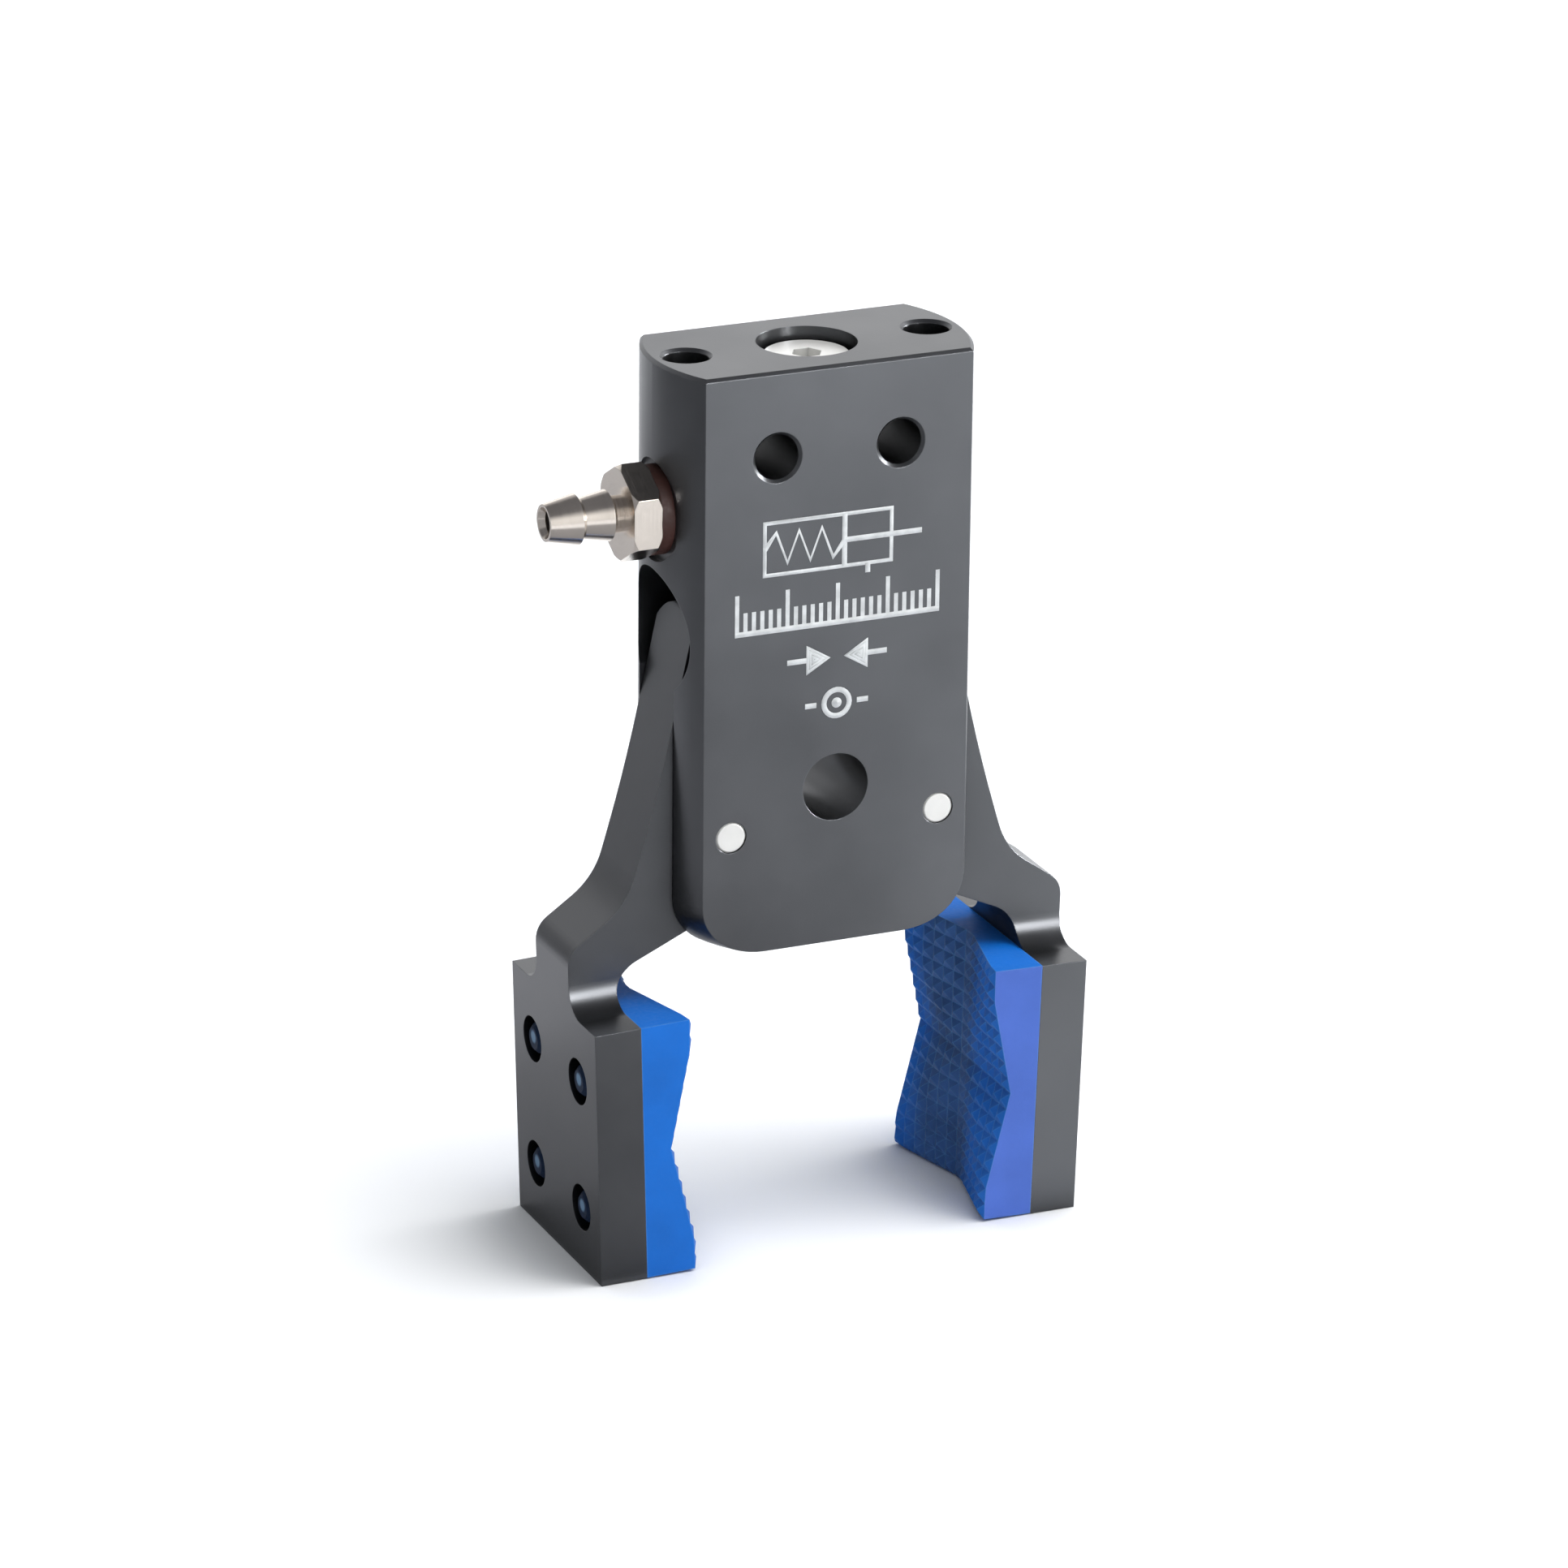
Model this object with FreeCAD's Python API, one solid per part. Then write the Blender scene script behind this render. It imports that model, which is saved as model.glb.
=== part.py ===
import FreeCAD, Part

import math
import os

V = FreeCAD.Vector

# All sizes are in millimetres. The origin is the centre of the flat top face, +Z is up, the
# flat front looks along -Y, and the right-hand finger is on +X.

# Housing: a piece of round bar with two flats and a turned lower corner
bar_radius = 15.0
housing_thickness = 15.0
housing_height = 55.0
bottom_round = 5.0
top_edge_break = 0.3

# Slots and cross bores that open in the two round sides
slot_width = 8.0
core_half_width = 6.6
piston_depth = 25.5
piston_bore_radius = 6.0
web_half_thickness = 1.5
air_passage_radius = 1.0

# Tapped holes and the clearance hole
screw_core_radius = 2.1
screw_mouth_radius = 2.4
mouth_chamfer = 0.3
drill_point_angle = 59.0
top_hole_offset = 11.75
top_hole_depth = 9.0
front_hole_offset = 6.0
front_hole_drop = 8.0
centre_hole_radius = 3.2
centre_hole_rise = 15.0

# Direct port in the top face, closed by a plug on a flat seal
port_recess_radius = 4.6
port_recess_depth = 3.95
port_depth = 9.5
plug_radius = 4.1
plug_head = 1.8
plug_stem_length = 4.6
plug_edge_break = 0.3
plug_socket_across = 2.5
plug_socket_depth = 1.5
plug_seal_radius = 3.7
plug_seal_inner = 2.4
plug_seal_thickness = 1.1

# Side port with its hose barb
side_port_drop = 14.0
spot_face_radius = 4.75
spot_face_depth = 0.6
side_port_depth = 5.6
washer_thickness = 1.2
washer_radius = 4.1
barb_stem_length = 4.6
barb_hex_across = 8.0
barb_hex_length = 2.7
barb_hex_bevel = 0.4
barb_neck_radius = 1.7
barb_valley_radius = 1.85
barb_crest_radius = 2.35
barb_tip_radius = 1.7
barb_neck_length = 1.1
barb_shoulder = 0.4
barb_rear_length = 2.6
barb_front_length = 3.0
barb_bore_radius = 1.15
barb_bore_mouth = 1.45
barb_mouth_depth = 0.6

# Pivot pins and the bushes that turn on them
pivot_offset = 10.25
pivot_rise = 11.5
pin_radius = 1.5
pin_edge_break = 0.2
bush_wall = 0.98
bush_running_clearance = 0.02

# Pistons, their seals and the steel buttons that push the fingers
piston_length = 5.0
piston_clearance = 0.05
piston_rear_gap = 0.1
seal_groove_start = 0.5
seal_groove_width = 1.2
seal_groove_depth = 0.95
seal_side_gap = 0.05
seal_bore_clearance = 0.03
button_shank_radius = 1.5
button_shank_length = 3.0
button_radius = 3.0
button_height = 2.0
button_dome_radius = 8.0
button_gap = 0.05

# Motion of the fingers
closing_angle = 10.0
toe_in = 1.65

# Fingers: upright arm, shoulder and jaw plate, each value measured from the pivot
arm_side_clearance = 0.1
arm_top_rise = 2.3
arm_top_break = 0.5
arm_end_radius = 4.6
arm_land_drop = 4.0
hub_radius = 3.4
flank_top_outset = 1.5
flank_bend_outset = 5.55
flank_bend_rise = 3.9
flank_blend_reach = 6.0
knee_outset = 8.9
knee_drop = 6.3
knee_radius = 7.5
shoulder_drop = 10.1
shoulder_radius = 2.5
heel_inset = 1.75
heel_drop = 7.8
heel_radius = 1.5
throat_drop = 12.8
throat_radius = 3.5
plate_outset = 14.75
plate_thickness = 4.5
plate_width = 20.0
plate_height = 24.7
plate_drop = 15.8
ledge_fillet = 2.6

# Grip pads and the studs that hold them in the jaw plates
pad_thickness = 5.2
pad_columns = 13
pad_rows = 16
pad_tooth_depth = 0.45
cradle_end_land = 2.9
cradle_depth = 2.1
groove_side_land = 0.8
groove_depth = 2.2
stud_spacing_y = 11.0
stud_spacing_z = 12.5
stud_radius = 1.45
stud_clearance = 0.05
stud_bead_radius = 1.8
stud_bead_length = 0.6
stud_recess = 0.1
stud_end_break = 0.4
stud_counterbore_radius = 2.2
stud_counterbore_depth = 1.3

# Return springs between the housing core and the fingers
spring_drop = 5.2
spring_radius = 1.6
spring_wire = 0.45
spring_wire_sides = 6
spring_turns = 5.0
spring_pocket_radius = 2.0
spring_pocket_depth = 3.4
spring_seat_radius = 1.9
spring_seat_outset = 1.1
spring_end_gap = 0.05

# How far a cutter runs past the face it opens, and how deep a stud is rooted in its pad
overrun = 1.0
stud_root = 1.0

# Places worked out from the sizes above
half_thickness = housing_thickness / 2
arm_width = slot_width - 2 * arm_side_clearance
pivot_z = pivot_rise - housing_height
piston_z = -piston_depth
spring_z = pivot_z - spring_drop
plate_top_z = pivot_z - plate_drop
plate_bottom_z = plate_top_z - plate_height
plate_outer_x = pivot_offset + plate_outset
plate_inner_x = plate_outer_x - plate_thickness
pad_face_x = plate_inner_x - pad_thickness
spot_face_x = bar_radius - spot_face_depth
piston_rear_x = web_half_thickness + piston_rear_gap
piston_front_x = piston_rear_x + piston_length
spring_floor_x = core_half_width - spring_pocket_depth
spring_seat_x = pivot_offset - spring_seat_outset
bush_radius = pin_radius + bush_running_clearance + bush_wall
plug_top_z = plug_seal_thickness + plug_head - port_recess_depth


def cylinder_along(axis, radius, start, length):
    """A cylinder from the point start, running along the direction axis."""
    return Part.makeCylinder(radius, length, start, axis)


def block(low, high):
    """A square block between two opposite corners."""
    size = high - low
    return Part.makeBox(size.x, size.y, size.z, low)


def revolved(outline, axis_point, axis):
    """A solid of revolution from a closed list of points in a plane through the axis."""
    wire = Part.makePolygon(outline + [outline[0]])
    return Part.Face(wire).revolve(axis_point, axis, 360)


def extruded(edges, direction):
    """A prism from closed edges."""
    return Part.Face(Part.Wire(edges)).extrude(direction)


def rounded_edges(corners):
    """Lines and arcs round a closed outline of corners, each a point and its corner radius."""
    starts = []
    ends = []
    middles = []
    for i, (corner, radius) in enumerate(corners):
        before = (corners[i - 1][0] - corner).normalize()
        after = (corners[(i + 1) % len(corners)][0] - corner).normalize()
        half_angle = before.getAngle(after) / 2
        reach = radius / math.tan(half_angle)
        starts.append(corner + before * reach)
        ends.append(corner + after * reach)
        inward = (before + after).normalize()
        middles.append(corner + inward * (radius / math.sin(half_angle) - radius))
    edges = []
    for i, (corner, radius) in enumerate(corners):
        if radius > 0:
            edges.append(Part.Arc(starts[i], middles[i], ends[i]).toShape())
        following = starts[(i + 1) % len(corners)]
        edges.append(Part.LineSegment(ends[i], following).toShape())
    return edges


def blend_radius(before, corner, after, reach):
    """The radius of the round that starts at a set distance from a corner."""
    half_angle = (before - corner).getAngle(after - corner) / 2
    return reach * math.tan(half_angle)


def ring(centre, axis, outer_radius, inner_radius, length):
    """A plain ring."""
    outside = cylinder_along(axis, outer_radius, centre, length)
    return outside.cut(cylinder_along(axis, inner_radius, centre, length))


def hexagon_prism(across, centre, axis, length):
    """A hexagonal prism along X or Z, with two corners on the line square to Y."""
    corner_radius = across / math.sqrt(3)
    side = V(0, 0, 1) if axis.x else V(1, 0, 0)
    points = []
    for i in range(6):
        angle = math.radians(60 * i)
        points.append(centre + (side * math.cos(angle) + V(0, 1, 0) * math.sin(angle)) * corner_radius)
    return Part.Face(Part.makePolygon(points + [points[0]])).extrude(axis * length)


def on_left(shape):
    """The left-hand copy of a right-hand piece."""
    return shape.mirror(V(0, 0, 0), V(1, 0, 0))


def closed_by(shape, angle):
    """A right-hand piece turned about the pivot, so that its jaw moves inwards by angle."""
    turned = shape.copy()
    turned.rotate(V(pivot_offset, 0, pivot_z), V(0, 1, 0), angle)
    return turned


def tapped_hole(mouth, inward, depth):
    """A cutter for a screw hole with a bevelled mouth and a drilled point."""
    point_depth = screw_core_radius / math.tan(math.radians(drill_point_angle))
    core = cylinder_along(inward, screw_core_radius, mouth, depth)
    point = Part.makeCone(screw_core_radius, 0, point_depth, mouth + inward * depth, inward)
    return core.fuse([point, mouth_bevel(mouth, inward)])


def mouth_bevel(mouth, inward):
    """The bevelled mouth of a screw hole."""
    return Part.makeCone(screw_mouth_radius, screw_core_radius, mouth_chamfer, mouth, inward)


def bar_blank():
    """The turned bar with its two flats, its rounded lower corner and its broken top edge."""
    top_corner = bar_radius - top_edge_break
    foot = bar_radius - bottom_round
    round_start = V(foot, 0, -housing_height)
    round_end = V(bar_radius, 0, bottom_round - housing_height)
    diagonal = bottom_round * math.sqrt(0.5)
    round_middle = V(foot + diagonal, 0, bottom_round - housing_height - diagonal)
    edges = [
        Part.LineSegment(V(0, 0, 0), V(top_corner, 0, 0)).toShape(),
        Part.LineSegment(V(top_corner, 0, 0), V(bar_radius, 0, -top_edge_break)).toShape(),
        Part.LineSegment(V(bar_radius, 0, -top_edge_break), round_end).toShape(),
        Part.Arc(round_end, round_middle, round_start).toShape(),
        Part.LineSegment(round_start, V(0, 0, -housing_height)).toShape(),
        Part.LineSegment(V(0, 0, -housing_height), V(0, 0, 0)).toShape(),
    ]
    turned = Part.Face(Part.Wire(edges)).revolve(V(0, 0, 0), V(0, 0, 1), 360)
    return turned.common(between_flats())


def between_flats():
    """The room between the two milled flats, whose top edges are broken like the bar's."""
    outline = [
        V(-bar_radius, -half_thickness, -housing_height),
        V(-bar_radius, -half_thickness, -top_edge_break),
        V(-bar_radius, top_edge_break - half_thickness, 0),
        V(-bar_radius, half_thickness - top_edge_break, 0),
        V(-bar_radius, half_thickness, -top_edge_break),
        V(-bar_radius, half_thickness, -housing_height),
    ]
    return Part.Face(Part.makePolygon(outline + [outline[0]])).extrude(V(2 * bar_radius, 0, 0))


def side_cutters():
    """What is cut into the right-hand round side: slot, piston bore and spring pocket."""
    out = V(1, 0, 0)
    slot = block(
        V(core_half_width, -slot_width / 2, -housing_height - overrun),
        V(bar_radius + overrun, slot_width / 2, piston_z),
    )
    bore_length = bar_radius + overrun - web_half_thickness
    bore = cylinder_along(out, piston_bore_radius, V(web_half_thickness, 0, piston_z), bore_length)
    pocket_length = spring_pocket_depth + overrun
    pocket = cylinder_along(out, spring_pocket_radius, V(spring_floor_x, 0, spring_z), pocket_length)
    return [slot, bore, pocket]


def through_hole(radius, x, z):
    """A cutter for a plain hole from the front flat to the back one."""
    start = V(x, -half_thickness - overrun, z)
    return cylinder_along(V(0, 1, 0), radius, start, housing_thickness + 2 * overrun)


def port_cutters():
    """The direct port, the side port and the passages that join them to both pistons."""
    down = V(0, 0, -1)
    inward = V(1, 0, 0)
    recess = cylinder_along(down, port_recess_radius, V(0, 0, 0), port_recess_depth)
    port_length = port_depth - port_recess_depth
    port_mouth = V(0, 0, -port_recess_depth)
    port = cylinder_along(down, screw_core_radius, port_mouth, port_length)
    passage_length = piston_depth - port_recess_depth
    passage = cylinder_along(down, air_passage_radius, port_mouth, passage_length)
    link_start = V(-web_half_thickness, 0, piston_z)
    link = cylinder_along(inward, air_passage_radius, link_start, 2 * web_half_thickness)
    face_centre = V(-spot_face_x, 0, -side_port_drop)
    spot_face = cylinder_along(-inward, spot_face_radius, face_centre, spot_face_depth + overrun)
    side_port = cylinder_along(inward, screw_core_radius, face_centre, side_port_depth)
    side_passage = cylinder_along(inward, air_passage_radius, face_centre, spot_face_x)
    return [recess, port, passage, link, spot_face, side_port, side_passage]


def housing():
    """The gripper body with its slots, bores, ports and screw holes."""
    cutters = port_cutters()
    for cutter in side_cutters():
        cutters.append(cutter)
        cutters.append(on_left(cutter))
    for side in (-1, 1):
        cutters.append(tapped_hole(V(side * top_hole_offset, 0, 0), V(0, 0, -1), top_hole_depth))
        x = side * front_hole_offset
        cutters.append(through_hole(screw_core_radius, x, -front_hole_drop))
        for face in (-1, 1):
            mouth = V(x, face * half_thickness, -front_hole_drop)
            cutters.append(mouth_bevel(mouth, V(0, -face, 0)))
        cutters.append(through_hole(pin_radius, side * pivot_offset, pivot_z))
    cutters.append(through_hole(centre_hole_radius, 0, centre_hole_rise - housing_height))
    return bar_blank().cut(cutters)


def top_port_plug():
    """The flanged plug with a hexagon socket that closes the direct port."""
    neck_z = plug_top_z - plug_head
    outline = [
        V(0, 0, plug_top_z),
        V(plug_radius - plug_edge_break, 0, plug_top_z),
        V(plug_radius, 0, plug_top_z - plug_edge_break),
        V(plug_radius, 0, neck_z),
        V(screw_core_radius, 0, neck_z),
        V(screw_core_radius, 0, neck_z - plug_stem_length),
        V(0, 0, neck_z - plug_stem_length),
    ]
    body = revolved(outline, V(0, 0, 0), V(0, 0, 1))
    socket = hexagon_prism(plug_socket_across, V(0, 0, plug_top_z), V(0, 0, -1), plug_socket_depth)
    return body.cut(socket)


def top_plug_seal():
    """The flat seal under the plug's flange."""
    base = V(0, 0, -port_recess_depth)
    return ring(base, V(0, 0, 1), plug_seal_radius, plug_seal_inner, plug_seal_thickness)


def port_washer():
    """The sealing washer under the fitting's hexagon."""
    start = V(-spot_face_x, 0, -side_port_drop)
    return ring(start, V(-1, 0, 0), washer_radius, screw_core_radius, washer_thickness)


def hose_barb():
    """The hexagon fitting with two barbs for the air hose, on the left-hand side."""
    seat = spot_face_x + washer_thickness
    hex_end = seat + barb_hex_length
    rear_crest = hex_end + barb_neck_length
    rear_end = rear_crest + barb_rear_length
    front_crest = rear_end + barb_shoulder
    tip = front_crest + barb_front_length
    profile = [
        (spot_face_x - barb_stem_length, 0),
        (spot_face_x - barb_stem_length, screw_core_radius),
        (seat, screw_core_radius),
        (seat, barb_neck_radius),
        (rear_crest - barb_shoulder, barb_neck_radius),
        (rear_crest, barb_crest_radius),
        (rear_end, barb_valley_radius),
        (front_crest, barb_crest_radius),
        (tip, barb_tip_radius),
        (tip, 0),
    ]
    centre = V(0, 0, -side_port_drop)
    axis = V(-1, 0, 0)
    turned = revolved([centre + V(-x, 0, r) for x, r in profile], centre, axis)
    corner_radius = barb_hex_across / math.sqrt(3)
    bevel_radius = corner_radius - barb_hex_bevel
    bevel = [
        (seat, 0),
        (seat, bevel_radius),
        (seat + barb_hex_bevel, corner_radius),
        (hex_end - barb_hex_bevel, corner_radius),
        (hex_end, bevel_radius),
        (hex_end, 0),
    ]
    hexagon = hexagon_prism(barb_hex_across, centre + V(-seat, 0, 0), axis, barb_hex_length)
    hexagon = hexagon.common(revolved([centre + V(-x, 0, r) for x, r in bevel], centre, axis))
    whole_length = tip - spot_face_x + barb_stem_length
    bore = cylinder_along(-axis, barb_bore_radius, centre + V(-tip, 0, 0), whole_length)
    end = centre + V(-tip, 0, 0)
    mouth = Part.makeCone(barb_bore_mouth, barb_bore_radius, barb_mouth_depth, end, -axis)
    return turned.fuse(hexagon).cut([bore, mouth])


def pivot_pin():
    """A dowel pin, flush with both flats."""
    plain = housing_thickness - 2 * pin_edge_break
    start = V(pivot_offset, pin_edge_break - half_thickness, pivot_z)
    body = cylinder_along(V(0, 1, 0), pin_radius, start, plain)
    for face in (-1, 1):
        centre = V(pivot_offset, face * plain / 2, pivot_z)
        end_radius = pin_radius - pin_edge_break
        end = Part.makeCone(pin_radius, end_radius, pin_edge_break, centre, V(0, face, 0))
        body = body.fuse(end)
    return body.removeSplitter()


def piston():
    """The right-hand piston with its seal groove and the hole for the button."""
    radius = piston_bore_radius - piston_clearance
    out = V(1, 0, 0)
    body = cylinder_along(out, radius, V(piston_rear_x, 0, piston_z), piston_length)
    groove_centre = V(piston_rear_x + seal_groove_start, 0, piston_z)
    groove = ring(groove_centre, out, radius, radius - seal_groove_depth, seal_groove_width)
    hole_start = V(piston_front_x - button_shank_length, 0, piston_z)
    hole = cylinder_along(out, button_shank_radius, hole_start, button_shank_length)
    return body.cut([groove, hole])


def piston_seal():
    """The seal in the groove of the right-hand piston."""
    inner = piston_bore_radius - piston_clearance - seal_groove_depth
    outer = piston_bore_radius - seal_bore_clearance
    start = V(piston_rear_x + seal_groove_start + seal_side_gap, 0, piston_z)
    return ring(start, V(1, 0, 0), outer, inner, seal_groove_width - 2 * seal_side_gap)


def thrust_button():
    """The domed steel button in the front of the right-hand piston."""
    out = V(1, 0, 0)
    shank = cylinder_along(
        out,
        button_shank_radius,
        V(piston_front_x - button_shank_length, 0, piston_z),
        button_shank_length,
    )
    head = cylinder_along(out, button_radius, V(piston_front_x, 0, piston_z), button_height)
    dome_centre = V(button_dome_x(), 0, piston_z)
    return shank.fuse(head.common(Part.makeSphere(button_dome_radius, dome_centre)))


def button_dome_x():
    """Where the centre of the button's dome lies while the fingers are open."""
    return piston_front_x + button_height - button_dome_radius


def arm_land_x():
    """Where the arm's land stands on the piston's axis at half travel, when it is upright."""
    half_travel = math.radians(closing_angle / 2)
    rise = piston_z - pivot_z
    dome_to_pivot = pivot_offset - button_dome_x()
    touching = dome_to_pivot * math.cos(half_travel) - rise * math.sin(half_travel)
    land_inset = touching - button_dome_radius - button_gap
    return pivot_offset - land_inset


def turned_point(x, z, angle):
    """A point of the x-z plane turned about the pivot by the same sense as closed_by."""
    dx = x - pivot_offset
    dz = z - pivot_z
    c = math.cos(math.radians(angle))
    s = math.sin(math.radians(angle))
    return V(pivot_offset + dx * c + dz * s, 0, pivot_z - dx * s + dz * c)


def hub_corner(above, below):
    """Where the two lines meet that touch the hub's inner side from a point above and one below."""
    hub = V(pivot_offset, 0, pivot_z)
    lines = []
    for point, sense in ((above, 1), (below, -1)):
        to_hub = hub - point
        angle = sense * math.asin(hub_radius / to_hub.Length)
        c = math.cos(angle)
        s = math.sin(angle)
        lines.append(V(to_hub.x * c + to_hub.z * s, 0, to_hub.z * c - to_hub.x * s).normalize())
    gap = below - above
    cross = lines[0].x * lines[1].z - lines[0].z * lines[1].x
    along = (gap.x * lines[1].z - gap.z * lines[1].x) / cross
    return above + lines[0] * along


def finger_side_view():
    """The right-hand finger's outline seen from the front, before it is toed in."""
    upright = toe_in + closing_angle / 2
    arm_top_z = piston_z + arm_top_rise
    land_top = turned_point(arm_land_x(), arm_top_z, -upright)
    land_end = turned_point(arm_land_x(), piston_z - arm_land_drop, -upright)
    flank_top = V(pivot_offset + flank_top_outset, 0, arm_top_z)
    flank_bend = V(pivot_offset + flank_bend_outset, 0, pivot_z + flank_bend_rise)
    knee = V(pivot_offset + knee_outset, 0, pivot_z - knee_drop)
    heel = V(pivot_offset - heel_inset, 0, pivot_z - heel_drop)
    return rounded_edges([
        (V(land_top.x, 0, arm_top_z), arm_top_break),
        (flank_top, arm_top_break),
        (flank_bend, blend_radius(flank_top, flank_bend, knee, flank_blend_reach)),
        (knee, knee_radius),
        (V(plate_outer_x, 0, pivot_z - shoulder_drop), shoulder_radius),
        (V(plate_outer_x, 0, plate_bottom_z), 0),
        (V(plate_inner_x, 0, plate_bottom_z), 0),
        (V(plate_inner_x, 0, pivot_z - throat_drop), throat_radius),
        (heel, heel_radius),
        (hub_corner(land_end, heel), hub_radius),
        (land_end, 0),
    ])


def finger_end_view():
    """The finger's outline seen from the side: round-ended arm, ledges and jaw plate."""
    half_arm = arm_width / 2
    half_plate = plate_width / 2
    top_z = piston_z + arm_top_rise
    arc_foot_z = top_z - arm_end_radius + math.sqrt(arm_end_radius ** 2 - half_arm ** 2)
    right_top = V(0, half_arm, arc_foot_z)
    left_top = V(0, -half_arm, arc_foot_z)
    edges = [Part.Arc(left_top, V(0, 0, top_z), right_top).toShape()]
    bend = ledge_fillet * (1 - math.sqrt(0.5))
    for side in (1, -1):
        arm_foot = V(0, side * half_arm, plate_top_z + ledge_fillet)
        middle = V(0, side * (half_arm + bend), plate_top_z + bend)
        ledge_start = V(0, side * (half_arm + ledge_fillet), plate_top_z)
        ledge_end = V(0, side * half_plate, plate_top_z)
        foot = V(0, side * half_plate, plate_bottom_z)
        arm_top = V(0, side * half_arm, arc_foot_z)
        edges.append(Part.LineSegment(arm_top, arm_foot).toShape())
        edges.append(Part.Arc(arm_foot, middle, ledge_start).toShape())
        edges.append(Part.LineSegment(ledge_start, ledge_end).toShape())
        edges.append(Part.LineSegment(ledge_end, foot).toShape())
    right_foot = V(0, half_plate, plate_bottom_z)
    left_foot = V(0, -half_plate, plate_bottom_z)
    edges.append(Part.LineSegment(right_foot, left_foot).toShape())
    return Part.__sortEdges__(edges)


def stud_centres():
    """Where the pad's studs pass through the inner face of the jaw plate."""
    middle_z = (plate_top_z + plate_bottom_z) / 2
    return [
        V(plate_inner_x, y * stud_spacing_y / 2, middle_z + z * stud_spacing_z / 2)
        for y in (-1, 1)
        for z in (-1, 1)
    ]


def finger():
    """The right-hand finger, milled from two sides and then toed in."""
    from_the_side = extruded(finger_side_view(), V(0, plate_width, 0))
    from_the_side.translate(V(0, -plate_width / 2, 0))
    from_the_end = extruded(finger_end_view(), V(plate_outer_x + overrun, 0, 0))
    body = from_the_side.common(from_the_end)
    out = V(1, 0, 0)
    hub_start = V(pivot_offset, -slot_width, pivot_z)
    cutters = [cylinder_along(V(0, 1, 0), bush_radius, hub_start, 2 * slot_width)]
    for centre in stud_centres():
        hole_start = centre - out * overrun
        hole_length = plate_thickness + 2 * overrun
        cutters.append(cylinder_along(out, stud_radius + stud_clearance, hole_start, hole_length))
        counterbore = V(plate_outer_x - stud_counterbore_depth, centre.y, centre.z)
        recess_length = stud_counterbore_depth + overrun
        cutters.append(cylinder_along(out, stud_counterbore_radius, counterbore, recess_length))
    body = closed_by(body.cut(cutters), toe_in)
    seat_start = V(spring_floor_x, 0, spring_z)
    seat = cylinder_along(out, spring_seat_radius, seat_start, spring_seat_x - spring_floor_x)
    return body.cut(seat)


def finger_bush():
    """The plain bush in the right-hand finger's hub."""
    inner = pin_radius + bush_running_clearance
    bush = ring(V(pivot_offset, -arm_width / 2, pivot_z), V(0, 1, 0), bush_radius, inner, arm_width)
    return closed_by(bush, toe_in)


def pad_depth(y, z):
    """How far the gripping face lies behind the pad's highest lands at a place on it."""
    half_width = plate_width / 2 - groove_side_land
    half_height = plate_height / 2 - cradle_end_land
    cradle = cradle_depth * (1 - abs(z) / half_height)
    groove = groove_depth * (1 - abs(y) / half_width)
    return max(cradle, groove, 0)


def toothed_face(middle_z):
    """The pyramids of the gripping face and their outermost points, row by row."""
    column = plate_width / pad_columns
    row = plate_height / pad_rows

    def face_point(i, j, depth):
        y = i * column - plate_width / 2
        z = j * row - plate_height / 2
        return V(pad_face_x + pad_depth(y, z) + depth, y, middle_z + z)

    def valley(i, j):
        return face_point(i, j, pad_tooth_depth)

    faces = []
    for i in range(pad_columns):
        for j in range(pad_rows):
            peak = face_point(i + 0.5, j + 0.5, 0)
            base = [valley(i, j), valley(i + 1, j), valley(i + 1, j + 1), valley(i, j + 1)]
            for k in range(4):
                faces.append(Part.Face(Part.makePolygon([peak, base[k], base[(k + 1) % 4], peak])))
    bottom = [valley(i, 0) for i in range(pad_columns + 1)]
    top = [valley(i, pad_rows) for i in range(pad_columns + 1)]
    front = [valley(0, j) for j in range(pad_rows + 1)]
    back = [valley(pad_columns, j) for j in range(pad_rows + 1)]
    return faces, bottom, top, front, back


def grip_pad():
    """The right-hand rubber pad: two crossed cradles covered in small pyramids, on four studs."""
    middle_z = (plate_top_z + plate_bottom_z) / 2
    faces, bottom, top, front, back = toothed_face(middle_z)
    for rim in (bottom, top, front, back):
        behind = [V(plate_inner_x, rim[-1].y, rim[-1].z), V(plate_inner_x, rim[0].y, rim[0].z)]
        faces.append(Part.Face(Part.makePolygon(rim + behind + [rim[0]])))
    corners = [
        V(plate_inner_x, y * plate_width / 2, middle_z + z * plate_height / 2)
        for y, z in ((-1, -1), (1, -1), (1, 1), (-1, 1))
    ]
    faces.append(Part.Face(Part.makePolygon(corners + [corners[0]])))
    pad = Part.Solid(Part.Shell(faces))
    if pad.Volume < 0:
        pad.reverse()
    out = V(1, 0, 0)
    bead_start = plate_thickness - stud_counterbore_depth
    studs = []
    stud_end = plate_thickness - stud_recess
    end_radius = stud_radius - stud_end_break
    for centre in stud_centres():
        whole_part = stud_root + stud_end - stud_end_break
        stud = cylinder_along(out, stud_radius, centre - out * stud_root, whole_part)
        end_centre = centre + out * (stud_end - stud_end_break)
        end = Part.makeCone(stud_radius, end_radius, stud_end_break, end_centre, out)
        bead_centre = centre + out * bead_start
        bead = Part.makeCone(stud_bead_radius, stud_radius, stud_bead_length, bead_centre, out)
        studs.append(stud.fuse([end, bead]))
    return closed_by(pad.fuse(studs), toe_in)


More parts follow.
